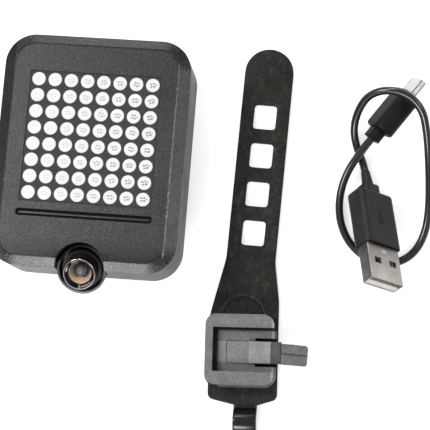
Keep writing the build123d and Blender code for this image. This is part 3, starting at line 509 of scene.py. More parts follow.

# %% [markdown]
# ## The lead as a cord
# The cable is a free cord between the two plugs.

# %% [markdown]
# ## Black rubber
# Moulded rubber that has lain in a bag is never one black: it has a dusty bloom in patches, a
# brownish cast, and small bright scuffs. A coarse noise gives the bloom and a finer one the
# scuffs. Just above the shoe, the strap carries a painted highlight ring with a painted shade
# ring beside it, for the light and shade of a raised arc.

# %% Rubber finish
def rubber(name, dark, light, scuff, rough, gloss=0.22, uneven=0.09, grain=0.45):
    """A rubber with a bloom in patches, scuffs and uneven gloss."""
    made = surface(
        name, dark, light, patch=4.5, grain=0.5, rough=rough, bump=0.11 * grain, swing=uneven, grit=grain,
        Specular_IOR_Level=gloss,
    )
    tree = made.node_tree
    shader = tree.nodes["Principled BSDF"]
    tone = shader.inputs["Base Color"].links[0].from_socket
    bloom = remap(tree, noise(tree, 1.7, 5.0, (1.0, 0.6, 1.0)), 0.0, scuff, 0.55, 0.8)
    tone = mix_colour(tree, bloom, tone, (0.085, 0.083, 0.070))
    dust = remap(tree, noise(tree, 0.8, 3.0), 0.0, scuff, 0.66, 0.8)
    link(tree, mix_colour(tree, dust, tone, (0.14, 0.135, 0.12)), shader.inputs["Base Color"])
    return made


RING_MIDDLE = (45.46, -41.57)
ARC_HIGHLIGHT_RADII, ARC_HIGHLIGHT_GAIN = (6.45, 6.75), 1.5
ARC_SHADE_RADII, ARC_SHADE_LOSS = (5.7, 6.3), 0.55

strap_rubber = rubber("strap_rubber", (0.012, 0.012, 0.0105), (0.025, 0.0245, 0.021), scuff=0.6, rough=0.55)
strap_tree = strap_rubber.node_tree
squares = [
    calculate(strap_tree, "POWER", plus(strap_tree, place_part(strap_tree, axis), -middle), 2.0)
    for axis, middle in zip("XY", RING_MIDDLE)
]
from_ring = calculate(strap_tree, "POWER", plus(strap_tree, *squares), 0.5)
# Painted highlight ring and painted shade ring of a raised arc just above the shoe.
painted_arc_highlight = times(strap_tree, band(strap_tree, from_ring, *ARC_HIGHLIGHT_RADII, 0.12), ARC_HIGHLIGHT_GAIN)
painted_arc_shade = times(strap_tree, band(strap_tree, from_ring, *ARC_SHADE_RADII, 0.15), -ARC_SHADE_LOSS)
tint(strap_rubber, plus(strap_tree, plus(strap_tree, painted_arc_highlight, painted_arc_shade), 1.0))
print("rubber ready")

# %% [markdown]
# ## The strap
# The strap is one moulding: a wide pad under the shoe, a waist, and a tail with four square holes.
# Two solids carry it in the model, so that the tail can bend up. Here it is one flat sheet of
# rubber, with extra rows of edges across that line.

# %% Make the strap
STRAP_AT = (45.6, -51.75)
STRAP_TURN, PAD_TURN = -1.25, 2.9
STRAP_THICK = 2.8
TAIL_LEFT, TAIL_RIGHT, TAIL_END = -7.2, 7.7, 93.2
HOLE_X, HOLE_W, HOLE_L, HOLE_R = 0.25, 6.9, 7.7, 1.2
HOLE_PLACES = [35.9 + 12.0 * i for i in range(4)]


def turned_place(turn):
    """Where a flat part round the shoe's screw lies, turned by some degrees."""
    move = Matrix.Translation((STRAP_AT[0] * MM, STRAP_AT[1] * MM, 0))
    return move @ Matrix.Rotation(radians(turn), 4, "Z")


def from_pad(x, y):
    """A point of the pad, which is turned with the shoe, in the tail's frame."""
    a = radians(PAD_TURN - STRAP_TURN)
    return (x * cos(a) - y * sin(a), x * sin(a) + y * cos(a))


strap_place = turned_place(STRAP_TURN)
pad_place = turned_place(PAD_TURN)
tip_r = (TAIL_RIGHT - TAIL_LEFT) / 2
tip = arc((HOLE_X, TAIL_END - tip_r), tip_r, 0, 180, 24)
right_side = [(from_pad(11.1, -14.3), 2.2), (from_pad(11.1, 15.0), 16.0), ((TAIL_RIGHT, 27.5), 16.0)]
left_side = [((TAIL_LEFT, 27.5), 16.0), (from_pad(-9.7, 10.6), 16.0), (from_pad(-9.7, -14.3), 2.2)]
root = [(from_pad(-1.8, -16.1), 0.0), (from_pad(5.2, -16.1), 0.0)]
corners = root + right_side + [(point, 0.0) for point in tip] + left_side
outside = rounded_corners([c[0] for c in corners], [c[1] for c in corners])
holes = []
for y in HOLE_PLACES:
    w, l = HOLE_W / 2, HOLE_L / 2
    square = [(HOLE_X + w, y - l), (HOLE_X + w, y + l), (HOLE_X - w, y + l), (HOLE_X - w, y - l)]
    holes.append(rounded_corners(square, [HOLE_R] * 4, 5))
strap_mesh = flat_solid("strap_band", [outside] + holes, 0.0, STRAP_THICK, 0.6, strap_place)
cut_across(strap_mesh, strap_place, [24.0 + i for i in range(9)])
smooth_by_angle(strap_mesh)
strap = add_mesh("strap_band", strap_mesh, strap_rubber, None)
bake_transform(strap)
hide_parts("strap_pad", "strap_tail")
print("strap faces:", len(strap_mesh.polygons))

# %% [markdown]
# ## The strap's hook
# Below the pad the rubber narrows to a tongue that curls up and over, to be pushed through a hole
# of the tail. Equal rounded sections along an arch give it, thick enough to look like rubber.

# %% Make the hook
def rounded_section(half_width, half_thick, corner, steps=4):
    """A rounded rectangle around zero, as pairs of across and up."""
    w, h = half_width, half_thick
    return rounded_corners([(w, -h), (w, h), (-w, h), (-w, -h)], [corner] * 4, steps)


HOOK_MID_R = 3.0
HOOK_X, HOOK_HALF = 1.7, 3.5
HOOK_THICK = 2.4
hook_centre = (-21.2, 1.9)
hook_path = [(-15.6, 1.4, 180.0), (-16.9, 1.45, 180.0)]
hook_path += [
    (hook_centre[0] + HOOK_MID_R * cos(radians(a)), hook_centre[1] + HOOK_MID_R * sin(radians(a)), a + 90)
    for a in range(20, 181, 10)
]
hook_path += [(hook_centre[0] - HOOK_MID_R, 0.9, 270.0), (hook_centre[0] - HOOK_MID_R, 0.05, 270.0)]
hook_rings = []
for y, z, heading in hook_path:
    up = (sin(radians(heading)), -cos(radians(heading)))
    section = rounded_section(HOOK_HALF, HOOK_THICK / 2, 0.6)
    ring = [(HOOK_X + x, y + h * up[0], z + h * up[1]) for x, h in section]
    hook_rings.append(ring)
hook_mesh = loft(hook_rings)
hook_mesh.transform(pad_place)
smooth_by_angle(hook_mesh, 50)
gloss_rubber = rubber(
    "hook_rubber", (0.006, 0.006, 0.006), (0.010, 0.010, 0.010), scuff=0.1, rough=0.22, gloss=0.55,
    uneven=0.01, grain=0.04,
)
hook = add_mesh("hook_band", hook_mesh, gloss_rubber, "strap")
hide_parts("strap_hook")
print("hook sections:", len(hook_rings))

# %% [markdown]
# ## The port cap and the power button
# Both are soft rubber, moulded with round edges. The cap is a plate with a plug behind it and a
# small lip for a thumb nail. The button is a shallow dome that stands a little out of the wall.

# %% Make the cap and the button
CAP_W, CAP_H, CAP_FACE = 13.2, 7.8, 26.6
seal_rubber = surface(
    "seal_rubber", (0.016, 0.016, 0.016), (0.026, 0.026, 0.025), patch=3.0, grain=0.4, rough=0.6,
    bump=0.03, grit=0.3,
)
wall_place = Matrix.Translation((0, -3.0 * MM, 25.475 * MM)) @ Matrix(
    ((0, 0, -1, 0), (-1, 0, 0, 0), (0, 1, 0, 0), (0, 0, 0, 1))
)


def cap_outline(width, height, corner, middle=0.0):
    """A rounded rectangle of the cap, seen from outside the wall."""
    w, h = width / 2, height / 2
    square = [(middle + w, -h), (middle + w, h), (middle - w, h), (middle - w, -h)]
    return rounded_corners(square, [corner] * 4, 6)


plate = flat_solid("cap_plate", [cap_outline(CAP_W, CAP_H, 1.5)], CAP_FACE, 1.0, 0.3, wall_place)
nail_lip = flat_solid("cap_lip", [cap_outline(1.0, 5.0, 0.4, 5.6)], 27.1, 1.0, 0.25, wall_place)
inside_end = -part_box("port_cap")[1].x / MM
plug_depth = CAP_FACE + 0.3 - inside_end
plug_body = flat_solid("cap_plug", [cap_outline(10.6, 6.4, 2.0)], inside_end, plug_depth, 0.3, wall_place)
cap_mesh = joined("port_cap_rubber", [plate, nail_lip, plug_body])
smooth_by_angle(cap_mesh)
cap = add_mesh("port_cap_rubber", cap_mesh, seal_rubber, "port_cap")
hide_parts("port_cap")
button_low, button_high = (Vector(corner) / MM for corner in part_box("power_button"))
button_z = (button_low.z + button_high.z) / 2
back, front = button_low.y, button_high.y
profile = [(back, 3.8), (back + 0.79, 3.8), (back + 0.8, 3.0), (front - 0.6, 3.0), (front - 0.3, 2.92)]
profile += [(front - 0.08, 2.65), (front, 2.2), (front - 0.05, 1.5), (front - 0.12, 0.6)]
button_mesh = loft([[(x, y, button_z + z) for x, z in arc((0, 0), r, 0, 352.5, 47)] for y, r in profile])
smooth_by_angle(button_mesh, 40)
button = add_mesh("power_button_rubber", button_mesh, seal_rubber, "power_button")
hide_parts("power_button")
print("cap and button faces:", len(cap_mesh.polygons), len(button_mesh.polygons))

# %% [markdown]
# ## The marks in the LED windows
# Under each clear window the tiny chips and their wires show as a few grey marks. The same small
# cluster repeats on an 8 by 8 grid, slightly turned each time, so Geometry Nodes lays it out.

# %% Lay out the marks
MARKS = [
    (-0.45, 0.36, 0.62), (0.36, 0.44, 0.54), (-0.42, -0.42, 0.54), (0.42, -0.42, 0.66), (0.98, 0.05, 0.38)
]
DOT_PITCH, DOT_COUNT = 4.75, 8
MATRIX_MIDDLE, WINDOW_TOP = 3.85, 34.81


def mark_grid_tree():
    """A node group: a grid of equal clusters of flat marks."""
    group = bpy.data.node_groups.new("led_mark_grid", "GeometryNodeTree")
    group.interface.new_socket(name="Geometry", in_out="OUTPUT", socket_type="NodeSocketGeometry")
    for label, kind in (("Pitch", "Float"), ("Count", "Int"), ("Seed", "Int"), ("Finish", "Material")):
        group.interface.new_socket(name=label, in_out="INPUT", socket_type="NodeSocket" + kind)
    start, end = group.nodes.new("NodeGroupInput"), group.nodes.new("NodeGroupOutput")
    cluster = group.nodes.new("GeometryNodeJoinGeometry")
    for x, y, size in MARKS:
        block = group.nodes.new("GeometryNodeMeshCube")
        block.inputs["Size"].default_value = (size * MM, 0.7 * size * MM, 0.03 * MM)
        move = group.nodes.new("GeometryNodeTransform")
        move.inputs["Translation"].default_value = (x * MM, y * MM, 0)
        link(group, block.outputs["Mesh"], move.inputs["Geometry"])
        link(group, move.outputs["Geometry"], cluster.inputs["Geometry"])
    span = group.nodes.new("ShaderNodeMath")
    span.operation = "MULTIPLY"
    less = group.nodes.new("ShaderNodeMath")
    less.operation = "SUBTRACT"
    less.inputs[1].default_value = 1.0
    link(group, start.outputs["Count"], less.inputs[0])
    link(group, less.outputs["Value"], span.inputs[0])
    link(group, start.outputs["Pitch"], span.inputs[1])
    grid = group.nodes.new("GeometryNodeMeshGrid")
    for side in "XY":
        link(group, span.outputs["Value"], grid.inputs["Size " + side])
        link(group, start.outputs["Count"], grid.inputs["Vertices " + side])
    turn = group.nodes.new("FunctionNodeRandomValue")
    turn.data_type = "FLOAT_VECTOR"
    turn.inputs["Min"].default_value = (0, 0, -0.35)
    turn.inputs["Max"].default_value = (0, 0, 0.35)
    link(group, start.outputs["Seed"], turn.inputs["Seed"])
    spread = group.nodes.new("GeometryNodeInstanceOnPoints")
    link(group, grid.outputs["Mesh"], spread.inputs["Points"])
    link(group, cluster.outputs["Geometry"], spread.inputs["Instance"])
    link(group, turn.outputs["Value"], spread.inputs["Rotation"])
    real = group.nodes.new("GeometryNodeRealizeInstances")
    paint = group.nodes.new("GeometryNodeSetMaterial")
    link(group, spread.outputs["Instances"], real.inputs["Geometry"])
    link(group, real.outputs["Geometry"], paint.inputs["Geometry"])
    link(group, start.outputs["Finish"], paint.inputs["Material"])
    link(group, paint.outputs["Geometry"], end.inputs["Geometry"])
    return group


mark_grey = surface(
    "mark_grey", (0.13, 0.08, 0.075), (0.24, 0.16, 0.15), patch=0.6, grain=0.2, rough=0.5, bump=0.004
)
mark_tree = mark_grey.node_tree
tone = mark_tree.nodes["Principled BSDF"].inputs["Base Color"]
# Painted glare: the marks fade to near white towards the left columns.
painted_glare = ramp_along(mark_tree, "X", 0.95, 0.1, -16.0, 17.0)
link(mark_tree, mix_colour(mark_tree, painted_glare, tone.links[0].from_socket, (0.84, 0.82, 0.81)), tone)
holder = bpy.data.objects.new("led_marks_source", bpy.data.meshes.new("led_marks_source"))
bpy.context.scene.collection.objects.link(holder)
layout = holder.modifiers.new("layout", "NODES")
layout.node_group = mark_grid_tree()
values = {"Pitch": DOT_PITCH * MM, "Count": DOT_COUNT, "Seed": 3, "Finish": mark_grey}
for item in layout.node_group.interface.items_tree:
    if item.in_out == "INPUT":
        layout[item.identifier] = values[item.name]
marks_mesh = bpy.data.meshes.new_from_object(holder.evaluated_get(bpy.context.evaluated_depsgraph_get()))
bpy.data.objects.remove(holder)
marks_mesh.transform(Matrix.Translation((0, MATRIX_MIDDLE * MM, WINDOW_TOP * MM)))
add_mesh("led_marks", marks_mesh, mark_grey, "lamp")
print("mark faces:", len(marks_mesh.polygons))

# %% [markdown]
# ## The case
# The lamp's case is injection moulded in black plastic with a fine spark-eroded texture. The low
# end of its face is smoother and carries painted shade, the creases beside the face carry a
# painted highlight, and painted sheen makes the face paler to the left and lower down. Painted
# light makes the low bevel paler and painted shade the left bevel darker, so one finish changes
# its tone with the place.

# %% Dress the case
CASE_SIDES = (-27.0, 27.0)
FACE_TOP = (34.85, 34.95)
CREASE_TOP = (34.5, 34.7)
CHIN = (-31.1, -24.5)
LOW_BEVEL = (-31.25, -31.05)
LEFT_BEVEL = (-24.1, -23.9)
RIGHT_CREASE, RIGHT_CREASE_HIGHLIGHT = (23.45, 23.95), 5.0
LEFT_CREASE, LEFT_CREASE_HIGHLIGHT = (-23.85, -23.6), 2.0
CREASE_HIGHLIGHT_LENGTH = (-28.0, 25.0)
CHIN_GLOSS, BEVEL_GLOSS = 0.14, 0.12
CHIN_SHADE = 0.85

case_plastic = surface(
    "case_plastic", (0.022, 0.022, 0.0218), (0.030, 0.030, 0.0295), patch=14.0, grain=0.45, rough=0.40,
    bump=0.07, soft_edge=0.2, speck=0.4, grit=0.45, Specular_IOR_Level=0.5,
)
case_tree = case_plastic.node_tree
from_middle = place_part(case_tree, "X")
up_the_case = place_part(case_tree, "Y")
# Painted sheen: the case's colour is lighter towards its left side and darker towards its right.
tint(case_plastic, remap(case_tree, from_middle, 1.3, 0.8, *CASE_SIDES))
on_face = ramp_along(case_tree, "Z", 0.0, 1.0, *FACE_TOP)
# Mask of the low end of the face, which is smoother and also carries painted shade.
smooth_and_shaded_chin = times(case_tree, on_face, remap(case_tree, up_the_case, 1.0, 0.0, *CHIN))
smoother = plus(
    case_tree, times(case_tree, smooth_and_shaded_chin, CHIN_GLOSS),
    times(case_tree, minus(case_tree, 1.0, on_face), BEVEL_GLOSS),
)
case_rough = case_tree.nodes["Principled BSDF"].inputs["Roughness"]
link(case_tree, minus(case_tree, case_rough.links[0].from_socket, smoother), case_rough)
# Painted shade darkens the low end of the face.
tint(case_plastic, minus(case_tree, 1.0, times(case_tree, smooth_and_shaded_chin, CHIN_SHADE)))
# Painted highlight along the creases beside the face, strongest on the right.
painted_crease_highlight = plus(
    case_tree,
    times(case_tree, band(case_tree, from_middle, *RIGHT_CREASE, 0.1), RIGHT_CREASE_HIGHLIGHT),
    times(case_tree, band(case_tree, from_middle, *LEFT_CREASE, 0.1), LEFT_CREASE_HIGHLIGHT),
)
painted_crease_highlight = times(case_tree, painted_crease_highlight, band(case_tree, up_the_case, *CREASE_HIGHLIGHT_LENGTH, 3.0))
painted_crease_highlight = times(case_tree, painted_crease_highlight, ramp_along(case_tree, "Z", 0.0, 1.0, *CREASE_TOP))
tint(case_plastic, plus(case_tree, 1.0, painted_crease_highlight))
# Painted sheen: lighter towards the bottom of the case, darker towards the top.
tint(case_plastic, remap(case_tree, up_the_case, 1.2, 0.9, -24.0, 28.0))
# Painted light on the low bevel and painted shade on the left bevel.
tint(case_plastic, remap(case_tree, up_the_case, 1.7, 1.0, *LOW_BEVEL))
tint(case_plastic, remap(case_tree, from_middle, 0.35, 1.0, *LEFT_BEVEL))
dress(case_plastic, "front_shell", "rear_shell", "rear_rail")
print("case tree nodes:", len(case_tree.nodes))

# %% [markdown]
# ## The lights in the face
# The matrix is a matt black block with windows of milky resin. Below it a smoked bar fills the
# slot, with a painted highlight along the thin rib of the bar. Round the laser the case ends in a
# holder, with painted light on its lower rim and painted shade towards its top.

# %% Dress the matrix, the bar and the holder
BAR_RIB = (-18.75, -18.45)
BAR_SIDES = (-19.0, 19.0)
HOLDER_RIM = (-40.0, -36.2)

matrix_plastic = surface(
    "matrix_plastic", (0.036, 0.036, 0.035), (0.046, 0.046, 0.044), patch=5.0, grain=0.4, rough=0.62,
    bump=0.03, grit=0.3, Specular_IOR_Level=0.3,
)
dress(matrix_plastic, "led_matrix_body")
window_resin = surface(
    "window_resin", (0.815, 0.805, 0.79), (0.89, 0.88, 0.865), patch=2.0, grain=0.4, rough=0.4,
    bump=0.004, Specular_IOR_Level=0.2,
)
dress(window_resin, "led_dots")
smoked_bar = surface(
    "smoked_bar", (0.003, 0.003, 0.003), (0.005, 0.005, 0.005), patch=6.0, grain=0.6, rough=0.13,
    bump=0.001, swing=0.01, Specular_IOR_Level=0.5,
)
bar_tree = smoked_bar.node_tree
# Painted highlight along the bar's rib, brightest at the left end.
painted_rib_highlight = band(bar_tree, place_part(bar_tree, "Y"), *BAR_RIB, 0.08)
painted_rib_highlight = times(bar_tree, painted_rib_highlight, ramp_along(bar_tree, "X", 34.0, 14.0, *BAR_SIDES))
tint(smoked_bar, plus(bar_tree, 1.0, painted_rib_highlight))
dress(smoked_bar, "slot_strip")
holder_plastic = surface(
    "holder_plastic", (0.085, 0.085, 0.083), (0.12, 0.12, 0.118), patch=6.0, grain=0.3, rough=0.4,
    bump=0.02, soft_edge=0.15, grit=0.25, Specular_IOR_Level=0.35,
)
# Painted light on the holder's lower rim, painted shade towards its top.
tint(holder_plastic, ramp_along(holder_plastic.node_tree, "Y", 2.1, 0.1, *HOLDER_RIM))
dress(holder_plastic, "laser_holder")
print("windows and bar dressed")

# %% [markdown]
# ## The laser
# A chromed ring holds the lens over a warm metal reflector. The ring's dark tone is a painted
# reflection of a dark room; it has a bright lip and two painted glints, so its tone follows the
# distance from the laser's axis and the angle round it. The reflector has painted light at its
# bottom and painted shade towards its top.

# %% Dress the laser
LASER_LEAN = 25
LASER_Y, LASER_Z = -35.2, 33.0
RING_LIP = (4.38, 4.5)
GLINT_RADII = (3.75, 3.95)
LOW_GLINT, HIGH_GLINT = (-75.0, -25.0), (105.0, 165.0)
GLINT_EDGE = 14.0
REFLECTOR_SHADE_SPAN = (-36.2, -33.0)


def laser_place(tree):
    """Distance from the laser's axis and angle round it, in millimetres and degrees."""
    lean = radians(LASER_LEAN)
    x, y, z = (place_part(tree, axis) for axis in "XYZ")
    across = times(tree, plus(tree, y, -LASER_Y), cos(lean))
    across = plus(tree, across, times(tree, plus(tree, z, -LASER_Z), sin(lean)))
    square = plus(tree, times(tree, x, x), times(tree, across, across))
    angle = times(tree, calculate(tree, "ARCTAN2", across, x), 180 / pi)
    return calculate(tree, "POWER", square, 0.5), angle


barrel_black = surface(
    "barrel_black", (0.012, 0.012, 0.0115), (0.02, 0.02, 0.019), patch=2.0, grain=0.2, rough=0.5,
    bump=0.02, Specular_IOR_Level=0.25,
)
dress(barrel_black, "laser_barrel")
# Painted reflection: the dark tone stands in for a dark room mirrored in the chrome.
chrome = surface(
    "chrome_ring", (0.02, 0.02, 0.024), (0.04, 0.04, 0.047), patch=3.0, grain=0.3, rough=0.08,
    bump=0.002, swing=0.03, metal=1.0,
)
chrome_tree = chrome.node_tree
chrome_base = chrome_tree.nodes["Principled BSDF"].inputs["Base Color"]
out_from_axis, round_axis = laser_place(chrome_tree)
lip = remap(chrome_tree, out_from_axis, 0.0, 0.5, *RING_LIP)
# Painted glints: two bright arcs on the inner band of the ring.
low_glint = band(chrome_tree, round_axis, *LOW_GLINT, GLINT_EDGE)
high_glint = band(chrome_tree, round_axis, *HIGH_GLINT, GLINT_EDGE)
glint = calculate(chrome_tree, "MAXIMUM", low_glint, high_glint)
glint = times(chrome_tree, glint, band(chrome_tree, out_from_axis, *GLINT_RADII, 0.12))
bright = calculate(chrome_tree, "MAXIMUM", lip, glint)
bright_metal = mix_colour(chrome_tree, bright, chrome_base.links[0].from_socket, (0.92, 0.92, 0.93))
link(chrome_tree, bright_metal, chrome_base)
dress(chrome, "laser_ring")
amber_brass = surface(
    "amber_brass", (1.0, 0.66, 0.40), (1.0, 0.84, 0.64), patch=1.6, grain=0.2, rough=0.28, bump=0.01,
    metal=0.05, Specular_IOR_Level=0.9,
)
# Painted light and shade: the reflector is bright at its bottom and darkens towards its top.
tint(amber_brass, ramp_along(amber_brass.node_tree, "Y", 1.0, 0.25, *REFLECTOR_SHADE_SPAN))
dress(amber_brass, "laser_reflector", "laser_diode")
bulb_glass = surface(
    "bulb_glass", (0.22, 0.23, 0.25), (0.36, 0.37, 0.39), patch=1.5, grain=0.3, rough=0.12, bump=0.002,
    Transmission_Weight=0.55, IOR=1.5,
)
dress(bulb_glass, "laser_lens")
print("ring tree nodes:", len(chrome_tree.nodes))

# %% [markdown]
# ## The shoe and its tongue
# The shoe is a greyer nylon. Painted shadow lies black in the corners under its lips, and the
# sliding rail has rubbed its floor pale along the middle. The tongue is the same nylon: paler
# along its ramp, with painted shade in its pocket and painted shade of a groove along the thumb
# lever.

# %% Dress the shoe and the tongue
def shoe_part(tree, axis):
    """A coordinate in the shoe's own frame, in millimetres from its screw."""
    a = radians(PAD_TURN)
    x = plus(tree, place_part(tree, "X"), -STRAP_AT[0])
    y = plus(tree, place_part(tree, "Y"), -STRAP_AT[1])
    first, second = (cos(a), sin(a)) if axis == "X" else (-sin(a), cos(a))
    return plus(tree, times(tree, x, first), times(tree, y, second))


SHOE_LIPS = (10.0, 10.25)
SHOE_FLOOR = (6.6, 6.8)
LEFT_SHADOW_SPAN, BACK_SHADOW_SPAN = (-6.9, -6.1), (5.6, 6.1)
INNER_WALL = (-9.6, -9.4)
RAIL_TRACK = (-3.9, 2.7)
SHOE_MOUTH = (9.35, 9.5)
PAINTED_SHADOW_STRENGTH = 0.97

shoe_plastic = surface(
    "shoe_plastic", (0.155, 0.155, 0.155), (0.215, 0.215, 0.214), patch=5.0, grain=0.42, rough=0.5,
    bump=0.06, soft_edge=0.2, grit=0.25, Specular_IOR_Level=0.35,
)
shoe_tree = shoe_plastic.node_tree
along_shoe, across_shoe = shoe_part(shoe_tree, "X"), shoe_part(shoe_tree, "Y")
# Painted shadow, black in the corners under the lips.
left_shadow = remap(shoe_tree, along_shoe, 1.0, 0.0, *LEFT_SHADOW_SPAN)
back_shadow = remap(shoe_tree, across_shoe, 0.0, 1.0, *BACK_SHADOW_SPAN)
painted_shadow = calculate(shoe_tree, "MAXIMUM", left_shadow, back_shadow)
painted_shadow = times(shoe_tree, painted_shadow, ramp_along(shoe_tree, "Z", 1.0, 0.0, *SHOE_LIPS))
painted_shadow = times(shoe_tree, painted_shadow, remap(shoe_tree, along_shoe, 0.0, 1.0, *INNER_WALL))
track = band(shoe_tree, across_shoe, *RAIL_TRACK, 0.3)
track = plus(shoe_tree, times(shoe_tree, track, 0.6), -0.15)
track = times(shoe_tree, track, ramp_along(shoe_tree, "Z", 1.0, 0.0, *SHOE_FLOOR))
tint(shoe_plastic, plus(shoe_tree, 1.0, track))
tint(shoe_plastic, minus(shoe_tree, 1.0, times(shoe_tree, painted_shadow, PAINTED_SHADOW_STRENGTH)))
tint(shoe_plastic, remap(shoe_tree, along_shoe, 1.0, 1.7, *SHOE_MOUTH))
dress(shoe_plastic, "shoe")

TONGUE_ROOT = (2.5, 2.7)
TONGUE_RAMP, TONGUE_POCKET = (2.7, 9.0), (9.3, 11.8)
LEVER_START, GROOVE_START = (11.8, 12.2), (12.2, 12.6)
GROOVE_HALF, GROOVE_SKEW = 0.16, 0.068

tongue_plastic = surface(
    "tongue_plastic", (0.18, 0.18, 0.18), (0.235, 0.235, 0.234), patch=2.5, grain=0.4, rough=0.5,
    bump=0.05, soft_edge=0.15, grit=0.22, Specular_IOR_Level=0.35,
)
tongue_tree = tongue_plastic.node_tree
along_tongue = shoe_part(tongue_tree, "X")
# The ramp of the tongue is paler.
paler_ramp = band(tongue_tree, along_tongue, *TONGUE_RAMP, 0.15)
# Painted shade in the recessed pocket of the tongue.
painted_pocket_shade = band(tongue_tree, along_tongue, *TONGUE_POCKET, 0.15)
shade = remap(tongue_tree, along_tongue, 1.12, 1.0, *TONGUE_ROOT)
shade = plus(tongue_tree, shade, times(tongue_tree, paler_ramp, 0.5))
shade = minus(tongue_tree, shade, times(tongue_tree, painted_pocket_shade, 0.5))
shade = minus(tongue_tree, shade, remap(tongue_tree, along_tongue, 0.0, 0.28, *LEVER_START))
skewed = times(tongue_tree, plus(tongue_tree, along_tongue, -8.0), GROOVE_SKEW)
across_lever = plus(tongue_tree, plus(tongue_tree, shoe_part(tongue_tree, "Y"), 0.6), skewed)
# Painted shade of a groove along the thumb lever.
painted_groove_shade = band(tongue_tree, across_lever, -GROOVE_HALF, GROOVE_HALF, 0.08)
painted_groove_shade = times(tongue_tree, painted_groove_shade, remap(tongue_tree, along_tongue, 0.0, 0.45, *GROOVE_START))
tint(tongue_plastic, minus(tongue_tree, shade, painted_groove_shade))
dress(tongue_plastic, "release_tongue")
print("shoe tree nodes:", len(shoe_tree.nodes))

# %% [markdown]
# ## The plugs
# The overmoulds are matt black, the small one a little darker. The shells are nickel-plated
# steel: the large one is satin and darkens towards its root, the small one is painted near white,
# a painted highlight of bright nickel.

# %% Dress the plugs
dress(overmould, "usb_a_overmould", "usb_a_relief")
small_overmould = surface(
    "small_overmould", (0.006, 0.006, 0.0058), (0.010, 0.010, 0.0097), patch=4.0, grain=0.4, rough=0.40,
    bump=0.04, soft_edge=0.8, grit=0.3, Specular_IOR_Level=0.22,
)
dress(small_overmould, "micro_overmould", "micro_relief")
nickel = surface(
    "satin_nickel", (0.50, 0.465, 0.42), (0.70, 0.66, 0.61), patch=5.0, grain=0.3, rough=0.38, bump=0.01,
    metal=1.0, soft_edge=0.2, grit=0.12,
)
dress(nickel, "usb_socket")
PLUG_AXIS = (0.181, -0.896, 0.407)
SHELL_REACH = (18.0, 29.0)
plug_nickel = nickel.copy()
plug_nickel.name = "plug_nickel"
plug_tree = plug_nickel.node_tree
out_of_plug = 0.0
for axis, part, start in zip("XYZ", PLUG_AXIS, LARGE_PLUG_AT):
    shift = times(plug_tree, plus(plug_tree, place_part(plug_tree, axis), -start), part)
    out_of_plug = plus(plug_tree, shift, out_of_plug)
tint(plug_nickel, remap(plug_tree, out_of_plug, 0.5, 1.12, *SHELL_REACH))
dress(plug_nickel, "usb_a_shell")
# Painted highlight: the small shell is near white and hardly metallic, standing in for bright nickel
# catching the light.
painted_highlight_shell = surface(
    "painted_highlight_shell", (0.97, 0.91, 0.89), (1.0, 0.97, 0.96), patch=3.0, grain=0.3, rough=0.3, bump=0.004,
    metal=0.05, soft_edge=0.1,
)
dress(painted_highlight_shell, "micro_shell")
print("plug tree nodes:", len(plug_tree.nodes))

# %% [markdown]
# ## The remaining solids
# What is left is mostly inside the case: screws, boards, chips, wires and the battery. Each has a
# plain two-tone finish, so one table lists them: the two tones, the size of the patches and of the
# grain, the roughness, the relief, how metallic it is, and the solids it goes on.

# %% Dress the remaining solids
PLAIN_FINISHES = [
    ("screw_steel", (0.38, 0.38, 0.38), (0.52, 0.52, 0.52), 1.5, 0.2, 0.35, 0.006, 1.0,
     "shell_screws board_screws rail_screws swivel_plate swivel_screw micro_latches"),
    ("tinned_wire", (0.6, 0.6, 0.6), (0.7, 0.7, 0.7), 1.0, 0.2, 0.3, 0.004, 1.0, "led_pins"),
    ("board_green", (0.01, 0.09, 0.03), (0.015, 0.13, 0.045), 3.0, 0.5, 0.35, 0.01, 0.0, "main_board"),
    ("chip_black", (0.02, 0.02, 0.02), (0.03, 0.03, 0.03), 2.0, 0.2, 0.5, 0.01, 0.0,
     "controller_chip motion_sensor charge_chip tact_switch usb_tongue micro_insulator"),
    ("capacitor_tan", (0.35, 0.23, 0.12), (0.45, 0.3, 0.17), 0.8, 0.1, 0.4, 0.004, 0.0, "board_capacitors"),
    ("cell_foil", (0.5, 0.5, 0.5), (0.62, 0.62, 0.62), 6.0, 0.8, 0.35, 0.03, 1.0, "battery_cell"),
    ("white_nylon", (0.72, 0.71, 0.68), (0.8, 0.79, 0.76), 3.0, 0.3, 0.45, 0.01, 0.0,
     "battery_plug switch_plunger usb_a_insulator"),
    ("lead_red", (0.3, 0.01, 0.01), (0.4, 0.02, 0.02), 2.0, 0.2, 0.4, 0.01, 0.0, "battery_leads"),
    ("contact_gold", (0.75, 0.52, 0.2), (0.85, 0.63, 0.28), 1.0, 0.1, 0.25, 0.003, 1.0,
     "micro_contacts usb_a_contacts"),
]
for name, dark, light, patch, grain, rough, bump, metal, solids in PLAIN_FINISHES:
    dress(surface(name, dark, light, patch, grain, rough, bump, metal=metal), *solids.split())
dress(seal_rubber, "shell_gasket", "port_cap", "power_button", "battery_pad")
print("finishes:", len(bpy.data.materials))

# %% [markdown]
# ## The table
# The things lie on a plain white table. It is a pale matt floor. What the camera and reflections
# see of it is lifted to white, and the soft contact shadows stay.

# %% Floor
def by_ray(tree, eye, gloss, rest):
    """One value for what the camera or a clear piece sees, one for glosses, one for the light itself."""
    path = tree.nodes.new("ShaderNodeLightPath")
    seen = calculate(tree, "MAXIMUM", path.outputs["Is Camera Ray"], path.outputs["Is Transmission Ray"])
    value = remap(tree, path.outputs["Is Glossy Ray"], rest, gloss, 0.0, 1.0)
    high = times(tree, seen, eye)
    low = times(tree, minus(tree, 1.0, seen), value)
    return plus(tree, high, low)


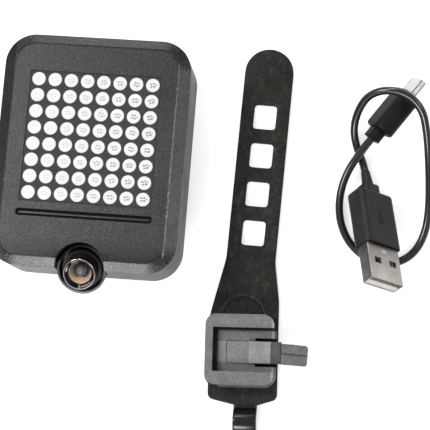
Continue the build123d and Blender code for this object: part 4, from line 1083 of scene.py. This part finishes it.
FLOOR_HALF = 1.5
bpy.ops.mesh.primitive_plane_add(size=2 * FLOOR_HALF, location=(0, 0, -0.02 * MM))
floor = bpy.context.object
floor.name = "table_top"
table_white = bpy.data.materials.new("table_white")
table_white.use_nodes = True
table_tree = table_white.node_tree
table_shader = table_tree.nodes["Principled BSDF"]
table_shader.inputs["Base Color"].default_value = (0.86, 0.86, 0.87, 1)
table_shader.inputs["Roughness"].default_value = 0.9
table_shader.inputs["Specular IOR Level"].default_value = 0.1
table_shader.inputs["Emission Color"].default_value = (1, 1, 1, 1)
link(table_tree, by_ray(table_tree, 0.62, 0.05, 0.0), table_shader.inputs["Emission Strength"])
floor.data.materials.append(table_white)
print("floor:", tuple(floor.dimensions))

# %% [markdown]
# ## The room and the lamps
# White all round gives the soft overall light of a product photograph. A compact lamp on the left
# lays the sheen on the lamp's face, a large one in front lights the low bevel, and the others lift
# the right side, the back edges and the crest of the hook.

# %% World and lamps
world = bpy.data.worlds.new("studio")
bpy.context.scene.world = world
world.use_nodes = True
sky = world.node_tree
background = sky.nodes["Background"]
background.inputs["Color"].default_value = (1, 1, 1, 1)
link(sky, by_ray(sky, 1.0, 0.35, 0.3), background.inputs["Strength"])


TABLE_MIDDLE = (0.03, -0.01, 0.0)
LAMPS = [
    ("lamp_left", (-0.36, 0.10, 0.64), 0.22, 2.2),
    ("lamp_front", (-0.12, -0.78, 0.70), 0.35, 4.8),
    ("lamp_right", (0.70, 0.12, 0.74), 0.30, 1.2),
    ("lamp_back", (-0.1, 0.9, 0.45), 0.3, 1.3),
    ("lamp_high", (-0.15, 0.60, 0.62), 0.14, 0.5),
]


def soft_lamp(name, at, size, watts):
    """A square area lamp at a place in metres, turned towards the table."""
    data = bpy.data.lights.new(name, "AREA")
    data.shape = "SQUARE"
    data.size = size
    data.energy = watts
    lamp = bpy.data.objects.new(name, data)
    lamp.location = at
    lamp.rotation_euler = (Vector(TABLE_MIDDLE) - Vector(at)).to_track_quat("-Z", "Y").to_euler()
    bpy.context.scene.collection.objects.link(lamp)


for lamp_row in LAMPS:
    soft_lamp(*lamp_row)
bpy.context.scene.view_settings.view_transform = "Standard"
print("lamps:", len(bpy.data.lights))
